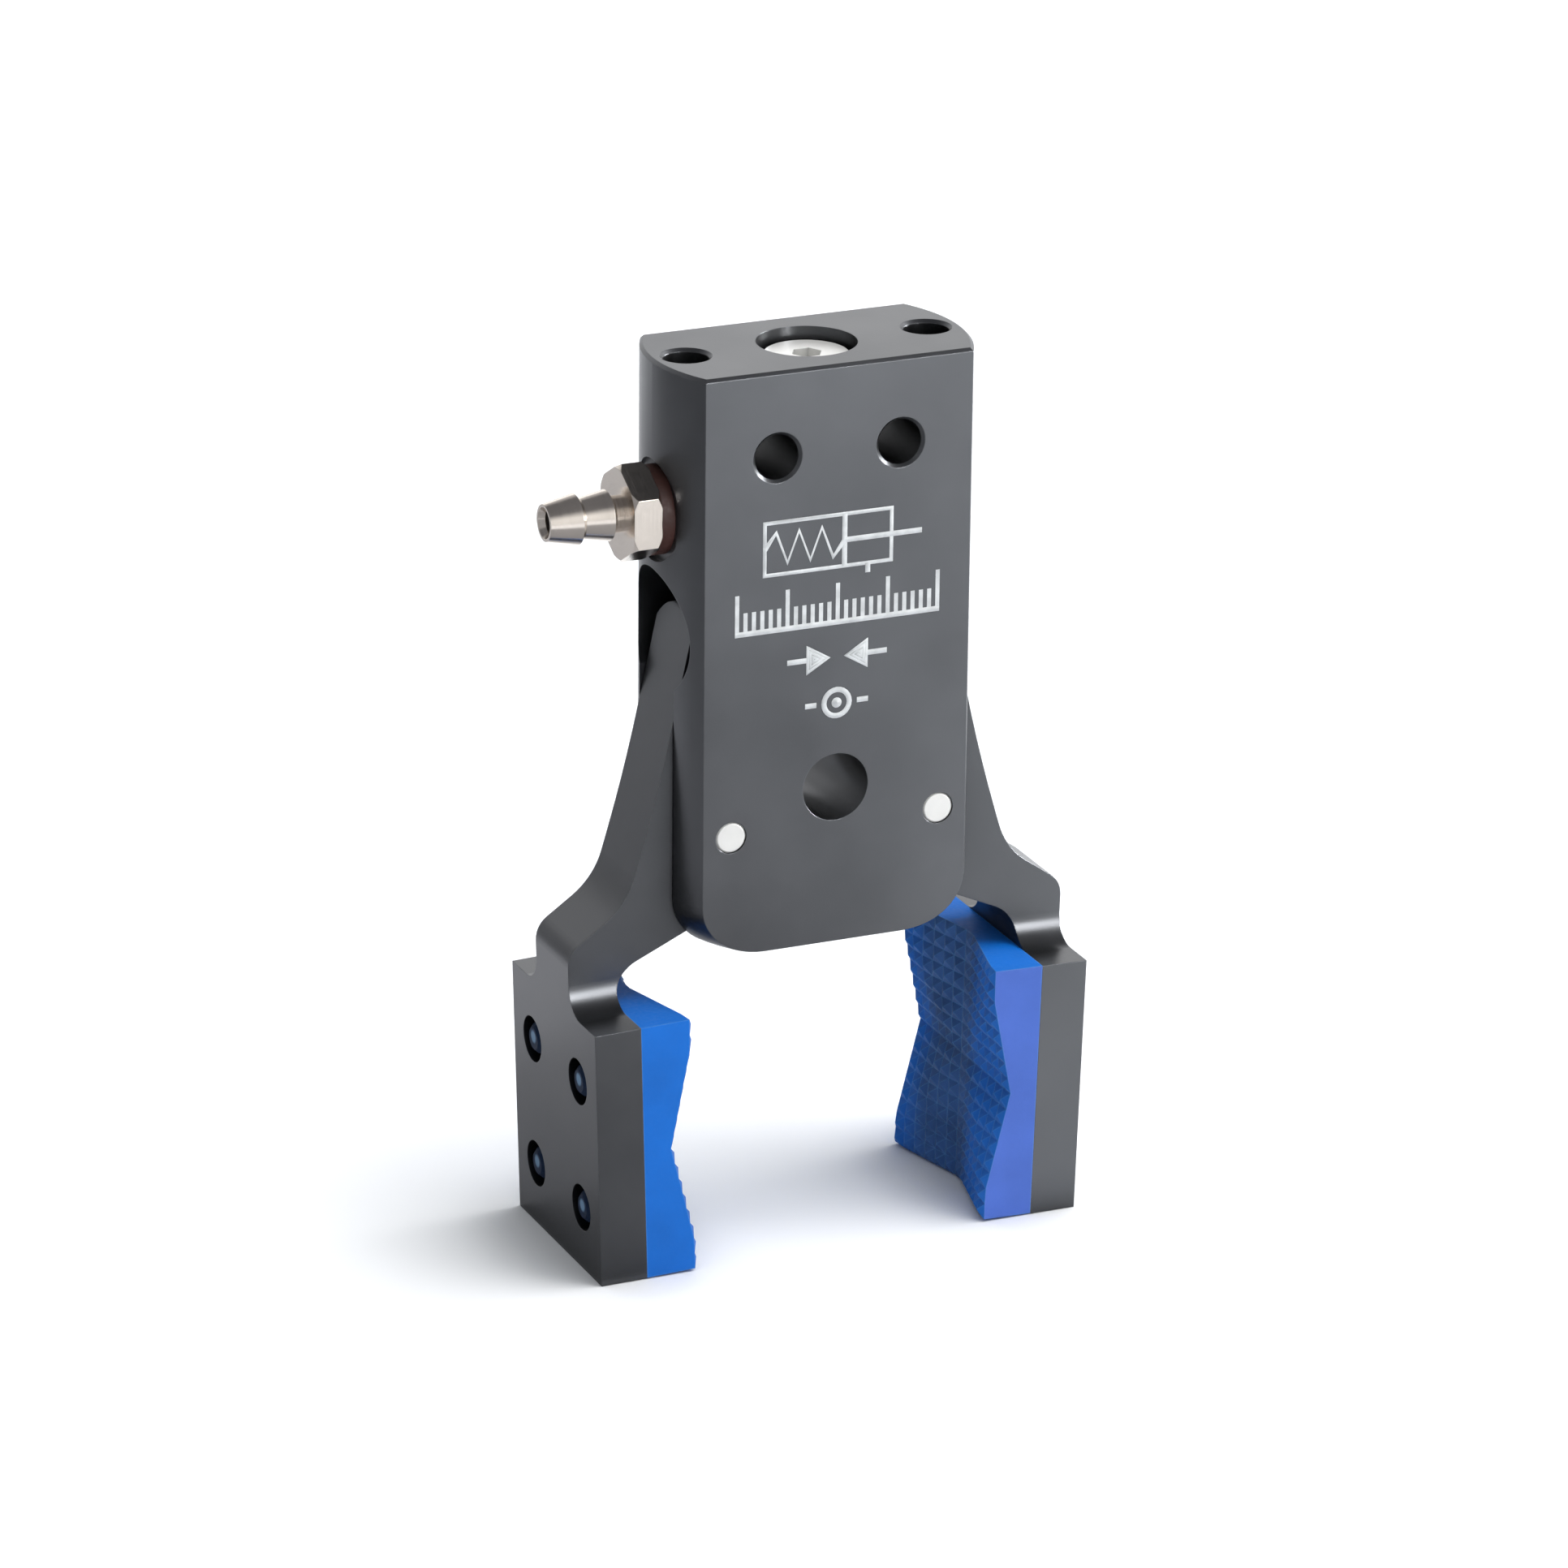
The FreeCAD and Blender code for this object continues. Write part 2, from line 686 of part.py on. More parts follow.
def return_spring():
    """The right-hand return spring, at rest between its pocket and its seat."""
    start_x = spring_floor_x + spring_end_gap + spring_wire / 2
    end_x = spring_seat_x - spring_end_gap - spring_wire / 2
    coil_radius = spring_radius - spring_wire / 2
    height = end_x - start_x
    helix = Part.makeHelix(height / spring_turns, height, coil_radius)
    section = []
    for i in range(spring_wire_sides):
        angle = math.radians(360 * i / spring_wire_sides)
        out = spring_wire / 2 * math.cos(angle)
        section.append(V(coil_radius + out, 0, spring_wire / 2 * math.sin(angle)))
    profile = Part.makePolygon(section + [section[0]])
    coil = Part.Wire(helix.Edges).makePipeShell([profile], True, True)
    coil.rotate(V(0, 0, 0), V(0, 1, 0), 90)
    coil.translate(V(start_x, 0, spring_z))
    return coil


def save(name, shape):
    """Writes one piece to its own file."""
    solids = shape.Solids
    whole = solids[0] if len(solids) == 1 else Part.makeCompound(solids)
    whole.exportStep(os.path.join("parts", name + ".step"))


def main():
    os.makedirs("parts", exist_ok=True)
    save("housing", housing())
    save("top_port_plug", top_port_plug())
    save("top_plug_seal", top_plug_seal())
    save("hose_barb", hose_barb())
    save("port_washer", port_washer())
    pairs = {
        "pivot_pin": pivot_pin(),
        "piston": piston(),
        "piston_seal": piston_seal(),
        "thrust_button": thrust_button(),
        "return_spring": return_spring(),
        "finger": finger(),
        "finger_bush": finger_bush(),
        "grip_pad": grip_pad(),
    }
    for name, shape in pairs.items():
        save(name + "_right", shape)
        save(name + "_left", on_left(shape))


main()
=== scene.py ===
"""A small angular gripper: its finishes, return springs and front marks, in a pale studio."""

import math

import bpy
from bpy.props import FloatProperty, FloatVectorProperty, IntProperty, PointerProperty
from mathutils import Matrix, Vector


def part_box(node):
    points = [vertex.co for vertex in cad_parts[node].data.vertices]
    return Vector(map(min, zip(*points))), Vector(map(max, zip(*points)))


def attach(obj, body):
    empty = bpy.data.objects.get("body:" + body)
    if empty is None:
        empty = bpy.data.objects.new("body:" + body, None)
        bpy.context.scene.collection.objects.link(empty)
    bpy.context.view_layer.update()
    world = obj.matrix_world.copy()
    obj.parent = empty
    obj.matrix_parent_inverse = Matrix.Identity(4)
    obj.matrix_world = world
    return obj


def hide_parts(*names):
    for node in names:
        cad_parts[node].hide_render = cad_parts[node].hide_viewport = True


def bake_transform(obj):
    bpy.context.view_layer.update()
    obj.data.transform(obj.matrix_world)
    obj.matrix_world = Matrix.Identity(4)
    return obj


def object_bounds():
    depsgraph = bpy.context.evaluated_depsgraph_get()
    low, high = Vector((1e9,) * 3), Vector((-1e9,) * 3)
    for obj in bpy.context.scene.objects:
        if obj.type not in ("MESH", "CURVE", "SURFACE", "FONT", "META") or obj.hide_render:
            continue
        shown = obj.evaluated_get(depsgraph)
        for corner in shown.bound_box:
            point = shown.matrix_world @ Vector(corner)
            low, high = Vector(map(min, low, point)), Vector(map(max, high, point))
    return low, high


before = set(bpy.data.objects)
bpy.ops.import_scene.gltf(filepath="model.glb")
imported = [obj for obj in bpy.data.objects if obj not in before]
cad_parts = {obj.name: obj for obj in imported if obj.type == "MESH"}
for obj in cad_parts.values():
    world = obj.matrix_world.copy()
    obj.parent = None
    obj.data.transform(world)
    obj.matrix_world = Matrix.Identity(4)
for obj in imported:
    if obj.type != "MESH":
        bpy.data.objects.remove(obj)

bl_info = {
    "name": "Angular gripper",
    "version": (1, 0, 0),
    "blender": (4, 5, 0),
    "location": "View3D > Sidebar > Gripper",
    "description": "Finishes, return springs, front marks and studio of a small angular gripper",
    "category": "Object",
}

MM = 0.001
SOLID_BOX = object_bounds()

# The tick scale on the front flat, in millimetres
SCALE_Z = -24.2
TICK_WIDTH = 0.4
SHORT_TICK = 2.0
LONG_TICK = 3.7
LONG_EVERY = 6
# How much further out each marked line lies than the one before, so that none lie level
LINE_STEP = 0.001

# Colours of the teeth's edges, partly abraded and partly a painted highlight, of the painted shade
# on the studs' ends and of the painted highlight in the middle of each end
RUBBED_AND_HIGHLIT_EDGE = (0.15, 0.4, 0.76, 1.0)
STUD_PAINTED_SHADE = (0.002, 0.014, 0.045, 1.0)
STUD_PAINTED_HIGHLIGHT = (0.13, 0.23, 0.36, 1.0)
# How far the part of a stud that shows reaches in from its end, in millimetres
STUD_END = 1.5
# The painted shade on the middle of a pad's toothed face, in millimetres: its place and where it
# fades out
SHADE_MIDDLE_Y = 2.2
SHADE_HALF = 3.2
SHADE_FADE_END = 6.5

# Rays for each softened edge and cavity, few because the render's own samples add up
TRACED_RAYS = 3

# Where the soft lights stand, in metres
LIGHT_TARGET = Vector((0.0, 0.0, -0.06))
LIGHT_DISTANCE = 1.6

# How far the grey cards lie over the floor, in millimetres
CARD_LIFT = 0.05

# Width of the camera's sensor, in millimetres
SENSOR_WIDTH = 36.0


class GripperFinishes(bpy.types.PropertyGroup):
    """Colours and surface values of the gripper's pieces."""

    anodised: FloatVectorProperty(
        name="Anodised grey",
        description="Colour of the anodised housing and fingers",
        subtype="COLOR",
        size=3,
        default=(0.12, 0.124, 0.132),
    )
    anodised_roughness: FloatProperty(
        name="Anodised roughness",
        description="Roughness of the anodised surfaces, before smudges",
        subtype="FACTOR",
        default=0.32,
        min=0.0,
        max=1.0,
    )
    edge_reach: FloatProperty(
        name="Edge break",
        description="Width of the softened edges of the milled pieces",
        subtype="DISTANCE",
        unit="LENGTH",
        default=0.12 * MM,
    )
    rubber: FloatVectorProperty(
        name="Rubber blue",
        description="Colour of the grip pads",
        subtype="COLOR",
        size=3,
        default=(0.002, 0.15, 0.62),
    )
    # The right-hand pad's front is painted paler, as a sheen
    sheen_painted_rubber: FloatVectorProperty(
        name="Rubber blue with painted sheen",
        description="Colour of the right-hand grip pad's front, painted a little paler as sheen",
        subtype="COLOR",
        size=3,
        default=(0.075, 0.16, 0.59),
    )
    # The toothed face's colour is painted darker and greyer, as shade
    shaded_gripping_rubber: FloatVectorProperty(
        name="Shaded toothed face blue",
        description="Colour of the grip pads' toothed face, painted darker as shade",
        subtype="COLOR",
        size=3,
        default=(0.035, 0.1, 0.27),
    )
    nickel: FloatVectorProperty(
        name="Nickel",
        description="Colour of the plated hose fitting",
        subtype="COLOR",
        size=3,
        default=(0.71, 0.65, 0.59),
    )
    bright_steel: FloatVectorProperty(
        name="Bright steel",
        description="Colour of the pins and the plug",
        subtype="COLOR",
        size=3,
        default=(0.93, 0.925, 0.9),
    )
    mark: FloatVectorProperty(
        name="Mark white",
        description="Colour of the marks on the front flat",
        subtype="COLOR",
        size=3,
        default=(0.74, 0.76, 0.77),
    )


class GripperMarks(bpy.types.PropertyGroup):
    """Sizes of the marks on the front flat."""

    line_width: FloatProperty(
        name="Line width",
        description="Width of a marked line",
        subtype="DISTANCE",
        unit="LENGTH",
        default=0.5 * MM,
    )
    thickness: FloatProperty(
        name="Mark thickness",
        description="How far a mark stands on the flat",
        subtype="DISTANCE",
        unit="LENGTH",
        default=0.02 * MM,
    )
    symbol_height: FloatProperty(
        name="Symbol height",
        description="Height of the cylinder symbol",
        subtype="DISTANCE",
        unit="LENGTH",
        default=4.9 * MM,
    )
    tick_count: IntProperty(
        name="Tick count",
        description="Number of marks on the scale",
        default=25,
        min=2,
        max=60,
    )
    tick_pitch: FloatProperty(
        name="Tick pitch",
        description="Distance between two marks of the scale",
        subtype="DISTANCE",
        unit="LENGTH",
        default=0.82 * MM,
    )


class GripperSpring(bpy.types.PropertyGroup):
    """Sizes of a return spring."""

    turns: FloatProperty(
        name="Turns",
        description="Number of turns in a return spring",
        default=5.0,
        min=1.0,
        max=20.0,
    )
    coil_radius: FloatProperty(
        name="Coil radius",
        description="Radius of the wire's centre line",
        subtype="DISTANCE",
        unit="LENGTH",
        default=1.375 * MM,
    )
    wire_radius: FloatProperty(
        name="Wire radius",
        description="Radius of the spring wire",
        subtype="DISTANCE",
        unit="LENGTH",
        default=0.22 * MM,
    )


class GripperStage(bpy.types.PropertyGroup):
    """The studio round the gripper."""

    camera_azimuth: FloatProperty(
        name="Camera azimuth",
        description="How far the camera stands round to the hose side",
        subtype="ANGLE",
        unit="ROTATION",
        default=math.radians(23.871),
    )
    camera_elevation: FloatProperty(
        name="Camera elevation",
        description="How far the camera looks down",
        subtype="ANGLE",
        unit="ROTATION",
        default=math.radians(20.473),
    )
    camera_roll: FloatProperty(
        name="Camera roll",
        description="Turn of the camera about its own line of sight",
        subtype="ANGLE",
        unit="ROTATION",
        default=math.radians(0.59),
    )
    camera_distance: FloatProperty(
        name="Camera distance",
        description="Distance from the camera to the point it looks at",
        subtype="DISTANCE",
        unit="LENGTH",
        default=708.84 * MM,
    )
    camera_target: FloatVectorProperty(
        name="Camera target",
        description="The point that the camera looks at",
        subtype="TRANSLATION",
        unit="LENGTH",
        size=3,
        default=(-1.771 * MM, 0.0, -42.092 * MM),
    )
    camera_lens: FloatProperty(
        name="Lens",
        description="Focal length in millimetres for a 36 mm sensor",
        subtype="DISTANCE_CAMERA",
        unit="CAMERA",
        default=178.15,
    )
    floor: FloatVectorProperty(
        name="Floor",
        description="Colour of the floor",
        subtype="COLOR",
        size=3,
        default=(0.9, 0.91, 0.93),
    )
    floor_lift: FloatProperty(
        name="Floor lift",
        description="How much paler the floor is in the picture and in reflections",
        default=0.22,
        min=0.0,
        max=1.0,
    )


def add_node(tree, kind, sockets=None, **settings):
    """A new node with its settings, and with its inputs linked or set by name."""
    node = tree.nodes.new(kind)
    for name, value in settings.items():
        setattr(node, name, value)
    for name, value in (sockets or {}).items():
        feed(tree, node.inputs[name], value)
    return node


def feed(tree, target, value):
    """Links an output to an input, or sets the input where the value is a plain one."""
    if isinstance(value, bpy.types.NodeSocket):
        tree.links.new(value, target)
    else:
        target.default_value = value


def math_node(tree, operation, *values):
    """A Math node's result."""
    node = add_node(tree, "ShaderNodeMath", operation=operation)
    for socket, value in zip(node.inputs, values):
        feed(tree, socket, value)
    return node.outputs["Value"]


def vector_node(tree, operation, *values):
    """A Vector Math node."""
    node = add_node(tree, "ShaderNodeVectorMath", operation=operation)
    for socket, value in zip(node.inputs, values):
        feed(tree, socket, value)
    return node


def ranged(tree, value, low, high, to_low, to_high):
    """A value carried from one range to another and held inside it."""
    sockets = {
        "Value": value,
        "From Min": low,
        "From Max": high,
        "To Min": to_low,
        "To Max": to_high,
    }
    return add_node(tree, "ShaderNodeMapRange", sockets, clamp=True).outputs["Result"]


def blended(tree, share, first, second):
    """Two colours mixed by a share that changes over the surface."""
    node = add_node(tree, "ShaderNodeMix", data_type="RGBA")
    colours = [s for s in node.inputs if s.type == "RGBA"]
    feed(tree, node.inputs["Factor"], share)
    for socket, value in zip(colours, (first, second)):
        feed(tree, socket, value)
    return next(s for s in node.outputs if s.type == "RGBA")


def noise(tree, vector, scale, detail=2.0):
    """A noise value."""
    sockets = {"Vector": vector, "Scale": scale, "Detail": detail}
    return add_node(tree, "ShaderNodeTexNoise", sockets).outputs["Fac"]


def coordinates(tree, vector):
    """The X, Y and Z outputs of a vector."""
    return add_node(tree, "ShaderNodeSeparateXYZ", {"Vector": vector}).outputs


def object_place(tree):
    """The place on the piece, in metres."""
    return add_node(tree, "ShaderNodeTexCoord").outputs["Object"]


def shade(colour, factor):
    """A colour made lighter or darker, as four values."""
    return tuple(min(1.0, c * factor) for c in colour[:3]) + (1.0,)


def effect_group(name, inputs, outputs):
    """An empty shader group with its sockets, and its two end nodes."""
    group = bpy.data.node_groups.new(name, "ShaderNodeTree")
    for socket, kind, value in inputs:
        made = group.interface.new_socket(socket, in_out="INPUT", socket_type=kind)
        made.default_value = value
    for socket, kind in outputs:
        group.interface.new_socket(socket, in_out="OUTPUT", socket_type=kind)
    return group, add_node(group, "NodeGroupInput"), add_node(group, "NodeGroupOutput")


def fine_grain_group():
    """The even grain of a blasted or moulded surface, and slow clouding under it."""
    group, given, result = effect_group(
        "fine grain",
        [
            ("Grain Scale", "NodeSocketFloat", 4000.0),
            ("Cloud Scale", "NodeSocketFloat", 90.0),
        ],
        [("Grain", "NodeSocketFloat"), ("Clouding", "NodeSocketFloat")],
    )
    place = object_place(group)
    grain = noise(group, place, given.outputs["Grain Scale"], 3.0)
    clouding = noise(group, place, given.outputs["Cloud Scale"], 4.0)
    feed(group, result.inputs["Grain"], grain)
    feed(group, result.inputs["Clouding"], clouding)
    return group


def edge_wear_and_highlight_group():
    """A mask of the sharp edges, broken up a little along their length."""
    group, given, result = effect_group(
        "edge wear",
        [
            ("Reach", "NodeSocketFloat", 0.0002),
            ("Break Scale", "NodeSocketFloat", 600.0),
        ],
        [("Edge", "NodeSocketFloat")],
    )
    reach = {"Radius": given.outputs["Reach"]}
    bevel = add_node(group, "ShaderNodeBevel", reach, samples=TRACED_RAYS)
    plain = add_node(group, "ShaderNodeNewGeometry").outputs["Normal"]
    likeness = vector_node(group, "DOT_PRODUCT", bevel.outputs["Normal"], plain)
    edge = ranged(group, likeness.outputs["Value"], 0.86, 0.995, 1.0, 0.0)
    patches = noise(group, object_place(group), given.outputs["Break Scale"], 2.0)
    kept = ranged(group, patches, 0.35, 0.6, 0.45, 1.0)
    feed(group, result.inputs["Edge"], math_node(group, "MULTIPLY", edge, kept))
    return group


def cavity_group():
    """A value that is 1 in the open and falls in holes, slots and corners."""
    group, given, result = effect_group(
        "cavity",
        [("Reach", "NodeSocketFloat", 0.004)],
        [("Open", "NodeSocketFloat")],
    )
    reach = {"Distance": given.outputs["Reach"]}
    shelter = add_node(group, "ShaderNodeAmbientOcclusion", reach, samples=TRACED_RAYS)
    feed(group, result.inputs["Open"], shelter.outputs["AO"])
    return group


def turning_marks_group():
    """Fine rings round an axis, as a lathe tool leaves them."""
    group, given, result = effect_group(
        "turning marks",
        [
            ("Centre", "NodeSocketVector", (0.0, 0.0, 0.0)),
            ("Axis", "NodeSocketVector", (0.0, 0.0, 1.0)),
            ("Ring Scale", "NodeSocketFloat", 6000.0),
        ],
        [("Rings", "NodeSocketFloat")],
    )
    arm = vector_node(group, "SUBTRACT", object_place(group), given.outputs["Centre"])
    along = vector_node(group, "DOT_PRODUCT", arm.outputs["Vector"], given.outputs["Axis"])
    across = vector_node(group, "CROSS_PRODUCT", arm.outputs["Vector"], given.outputs["Axis"])
    radius = vector_node(group, "LENGTH", across.outputs["Vector"])
    ring_place = {"X": radius.outputs["Value"], "Y": along.outputs["Value"]}
    place = add_node(group, "ShaderNodeCombineXYZ", ring_place).outputs["Vector"]
    feed(group, result.inputs["Rings"], noise(group, place, given.outputs["Ring Scale"]))
    return group


def shared_group(name, build):
    """A shader group, built the first time it is asked for."""
    return bpy.data.node_groups.get(name) or build()


def placed_group(tree, group, **values):
    """A shader group in a material, with its values; an underscore stands for a space."""
    node = add_node(tree, "ShaderNodeGroup", node_tree=group)
    for name, value in values.items():
        node.inputs[name.replace("_", " ")].default_value = value
    return node


def new_finish(name, metallic, specular=0.5):
    """A material with one principled shader, and its tree and shader."""
    material = bpy.data.materials.new(name)
    material.use_nodes = True
    tree = material.node_tree
    tree.nodes.clear()
    plain = {"Metallic": metallic, "Specular IOR Level": specular}
    shader = add_node(tree, "ShaderNodeBsdfPrincipled", plain)
    add_node(tree, "ShaderNodeOutputMaterial", {"Surface": shader.outputs["BSDF"]})
    return material, tree, shader


def softened(tree, shader, height, depth, reach):
    """Feeds the shader's normal with a fine relief over edges softened by reach."""
    bump = add_node(tree, "ShaderNodeBump", {"Distance": depth, "Height": height})
    if reach > 0:
        bevel = add_node(tree, "ShaderNodeBevel", {"Radius": reach}, samples=TRACED_RAYS)
        feed(tree, bump.inputs["Normal"], bevel.outputs["Normal"])
    feed(tree, shader.inputs["Normal"], bump.outputs["Normal"])


def anodised_finish(name, settings, tone):
    """Dark satin anodising: even blasted grain, faint clouding, paler edges that are partly
    abraded and partly a painted highlight, and painted shade in holes, slots and corners.
    """
    material, tree, shader = new_finish(name, metallic=0.96)
    grain = placed_group(
        tree, shared_group("fine grain", fine_grain_group), Grain_Scale=5200.0, Cloud_Scale=70.0
    )
    wear_and_highlight = placed_group(tree, shared_group("edge wear", edge_wear_and_highlight_group), Reach=0.00016)
    base = shade(settings.anodised, tone)
    clouded = blended(
        tree,
        ranged(tree, grain.outputs["Clouding"], 0.3, 0.7, 0.0, 1.0),
        shade(base, 0.93),
        shade(base, 1.07),
    )
    # Paler edges: partly abrasion, partly a painted highlight along them
    worn_and_highlit = ranged(tree, wear_and_highlight.outputs["Edge"], 0.0, 1.0, 0.0, 0.3)
    edged = blended(tree, worn_and_highlit, clouded, shade(base, 2.2))
    # Painted shade: the colour darkens strongly in holes, slots and corners
    cavity = placed_group(tree, shared_group("cavity", cavity_group), Reach=0.005)
    painted_shade = ranged(tree, cavity.outputs["Open"], 0.34, 0.72, 0.74, 0.0)
    feed(tree, shader.inputs["Base Color"], blended(tree, painted_shade, edged, shade(base, 0.1)))
    smooth = settings.anodised_roughness
    roughness = ranged(tree, grain.outputs["Clouding"], 0.3, 0.7, smooth - 0.04, smooth + 0.05)
    feed(tree, shader.inputs["Roughness"], roughness)
    softened(tree, shader, grain.outputs["Grain"], 0.004 * MM, settings.edge_reach)
    return material


def turned_finish(name, colour, roughness, centre, axis, reach=0.08 * MM, metallic=1.0, painted_shade_share=0.0):
    """Bright turned metal with fine rings round its axis, and, where asked, painted shade in its
    hollows.
    """
    material, tree, shader = new_finish(name, metallic=metallic)
    marks = placed_group(
        tree,
        shared_group("turning marks", turning_marks_group),
        Centre=centre,
        Axis=axis,
        Ring_Scale=5200.0,
    )
    grain = placed_group(
        tree, shared_group("fine grain", fine_grain_group), Grain_Scale=3000.0, Cloud_Scale=260.0
    )
    tint = ranged(tree, grain.outputs["Clouding"], 0.3, 0.7, 0.0, 1.0)
    surface = blended(tree, tint, shade(colour, 0.94), shade(colour, 1.04))
    # Painted shade: the colour darkens in hollows such as a socket
    if painted_shade_share > 0:
        cavity = placed_group(tree, shared_group("cavity", cavity_group), Reach=0.0008)
        painted_shade = ranged(tree, cavity.outputs["Open"], 0.4, 0.9, painted_shade_share, 0.0)
        surface = blended(tree, painted_shade, surface, shade(colour, 0.2))
    feed(tree, shader.inputs["Base Color"], surface)
    ringed = ranged(tree, marks.outputs["Rings"], 0.3, 0.7, roughness - 0.05, roughness + 0.06)
    feed(tree, shader.inputs["Roughness"], ringed)
    softened(tree, shader, marks.outputs["Rings"], 0.003 * MM, reach)
    return material


def stud_end_group():
    """A mask of the four stud ends' middles, where a highlight is painted, by how far they stand
    from the pad's centre.
    """
    group, given, result = effect_group(
        "stud end",
        [
            ("Centre", "NodeSocketVector", (0.0, 0.0, 0.0)),
            ("Half Spacing", "NodeSocketVector", (0.0, 0.0055, 0.00625)),
            ("Radius", "NodeSocketFloat", 0.0007),
        ],
        [("Core", "NodeSocketFloat")],
    )
    arm = vector_node(group, "SUBTRACT", object_place(group), given.outputs["Centre"])
    flat = vector_node(group, "MULTIPLY", arm.outputs["Vector"], (0.0, 1.0, 1.0))
    folded = vector_node(group, "ABSOLUTE", flat.outputs["Vector"])
    offset = vector_node(
        group, "SUBTRACT", folded.outputs["Vector"], given.outputs["Half Spacing"]
    )
    distance = vector_node(group, "LENGTH", offset.outputs["Vector"]).outputs["Value"]
    inner = math_node(group, "MULTIPLY", given.outputs["Radius"], 0.6)
    core = ranged(group, distance, inner, given.outputs["Radius"], 1.0, 0.0)
    feed(group, result.inputs["Core"], core)
    return group


def rubber_finish(name, base, front, face_shade_colour, pad):
    """Moulded matt blue rubber: front faces in their own colour, painted shade on the middle of
    the toothed face and on the studs' ends, a painted highlight in each stud end's middle, and
    edges partly abraded and partly a painted highlight.
    """
    material, tree, shader = new_finish(name, metallic=0.0, specular=0.2)
    low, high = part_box(pad)
    grain = placed_group(
        tree, shared_group("fine grain", fine_grain_group), Grain_Scale=2600.0, Cloud_Scale=160.0
    )
    wear_and_highlight = placed_group(
        tree, shared_group("edge wear", edge_wear_and_highlight_group), Reach=0.0002, Break_Scale=420.0
    )
    core = placed_group(tree, shared_group("stud end", stud_end_group), Centre=(low + high) / 2)
    facing = coordinates(tree, add_node(tree, "ShaderNodeTexCoord").outputs["Normal"])
    sideways = math_node(tree, "ABSOLUTE", facing["X"])
    place = coordinates(tree, object_place(tree))
    outwards = math_node(tree, "ABSOLUTE", place["X"])
    clouding = ranged(tree, grain.outputs["Clouding"], 0.3, 0.7, 0.0, 1.0)
    # Front faces take the front colour; on the right-hand pad it is a painted sheen
    forwards = ranged(tree, facing["Y"], -0.95, -0.8, 1.0, 0.0)
    plain = blended(
        tree,
        forwards,
        blended(tree, clouding, shade(base, 0.9), shade(base, 1.08)),
        blended(tree, clouding, shade(front, 0.9), shade(front, 1.08)),
    )
    # Painted shade: the sideways toothed faces are darker and greyer, most in their middle
    face_shade = blended(tree, clouding, shade(face_shade_colour, 0.7), shade(face_shade_colour, 1.3))
    offset = math_node(tree, "SUBTRACT", place["Y"], SHADE_MIDDLE_Y * MM)
    from_middle = math_node(tree, "ABSOLUTE", offset)
    in_middle = ranged(tree, from_middle, SHADE_HALF * MM, SHADE_FADE_END * MM, 1.0, 0.3)
    is_toothed = ranged(tree, sideways, 0.3, 0.55, 0.0, 1.0)
    face_shade_share = math_node(tree, "MULTIPLY", is_toothed, in_middle)
    faces = blended(tree, face_shade_share, plain, face_shade)
    # Edges of the teeth: partly abrasion, partly a painted highlight on ridges and valleys
    worn_and_highlit = ranged(tree, wear_and_highlight.outputs["Edge"], 0.0, 1.0, 0.0, 0.5)
    rubbed_and_highlit = blended(tree, worn_and_highlit, faces, RUBBED_AND_HIGHLIT_EDGE)
    # Stud ends: painted shade round a painted highlight in the middle of each
    stud = blended(tree, core.outputs["Core"], STUD_PAINTED_SHADE, STUD_PAINTED_HIGHLIGHT)
    stud_start = max(-low.x, high.x) - STUD_END * MM
    is_stud = ranged(tree, outwards, stud_start, stud_start + 0.1 * MM, 0.0, 1.0)
    feed(tree, shader.inputs["Base Color"], blended(tree, is_stud, rubbed_and_highlit, stud))
    roughness = ranged(tree, grain.outputs["Grain"], 0.3, 0.7, 0.55, 0.7)
    feed(tree, shader.inputs["Roughness"], roughness)
    softened(tree, shader, grain.outputs["Grain"], 0.01 * MM, 0.06 * MM)
    return material


def seal_finish(name, colour, roughness):
    """Plain moulded rubber or fibre with a fine grain."""
    material, tree, shader = new_finish(name, metallic=0.0, specular=0.4)
    grain = placed_group(
        tree, shared_group("fine grain", fine_grain_group), Grain_Scale=2200.0, Cloud_Scale=300.0
    )
    tint = ranged(tree, grain.outputs["Clouding"], 0.3, 0.7, 0.0, 1.0)
    feed(
        tree,
        shader.inputs["Base Color"],
        blended(tree, tint, shade(colour, 0.8), shade(colour, 1.25)),
    )
    feed(
        tree,
        shader.inputs["Roughness"],
        ranged(tree, grain.outputs["Grain"], 0.3, 0.7, roughness - 0.08, roughness + 0.08),
    )
    softened(tree, shader, grain.outputs["Grain"], 0.012 * MM, 0.0)
    return material


def mark_finish(settings):
    """Laser marking: slightly uneven matt white."""
    material, tree, shader = new_finish("front marking", metallic=0.0, specular=0.2)
    grain = placed_group(
        tree, shared_group("fine grain", fine_grain_group), Grain_Scale=9000.0, Cloud_Scale=900.0
    )
    tint = ranged(tree, grain.outputs["Clouding"], 0.3, 0.65, 0.0, 1.0)
    feed(
        tree,
        shader.inputs["Base Color"],
        blended(tree, tint, shade(settings.mark, 0.82), shade(settings.mark, 1.05)),
    )
    feed(
        tree,
        shader.inputs["Roughness"],
        ranged(tree, grain.outputs["Grain"], 0.3, 0.7, 0.55, 0.75),
    )
    softened(tree, shader, grain.outputs["Grain"], 0.004 * MM, 0.0)
    return material


def dress(node, material):
    """Gives a piece of the frame its material."""
    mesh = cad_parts[node].data
    if not mesh.materials:
        mesh.materials.append(material)
    for i in range(len(mesh.materials)):
        mesh.materials[i] = material


def middle(node):
    """The middle of a piece of the frame."""
    low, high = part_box(node)
    return (low + high) / 2


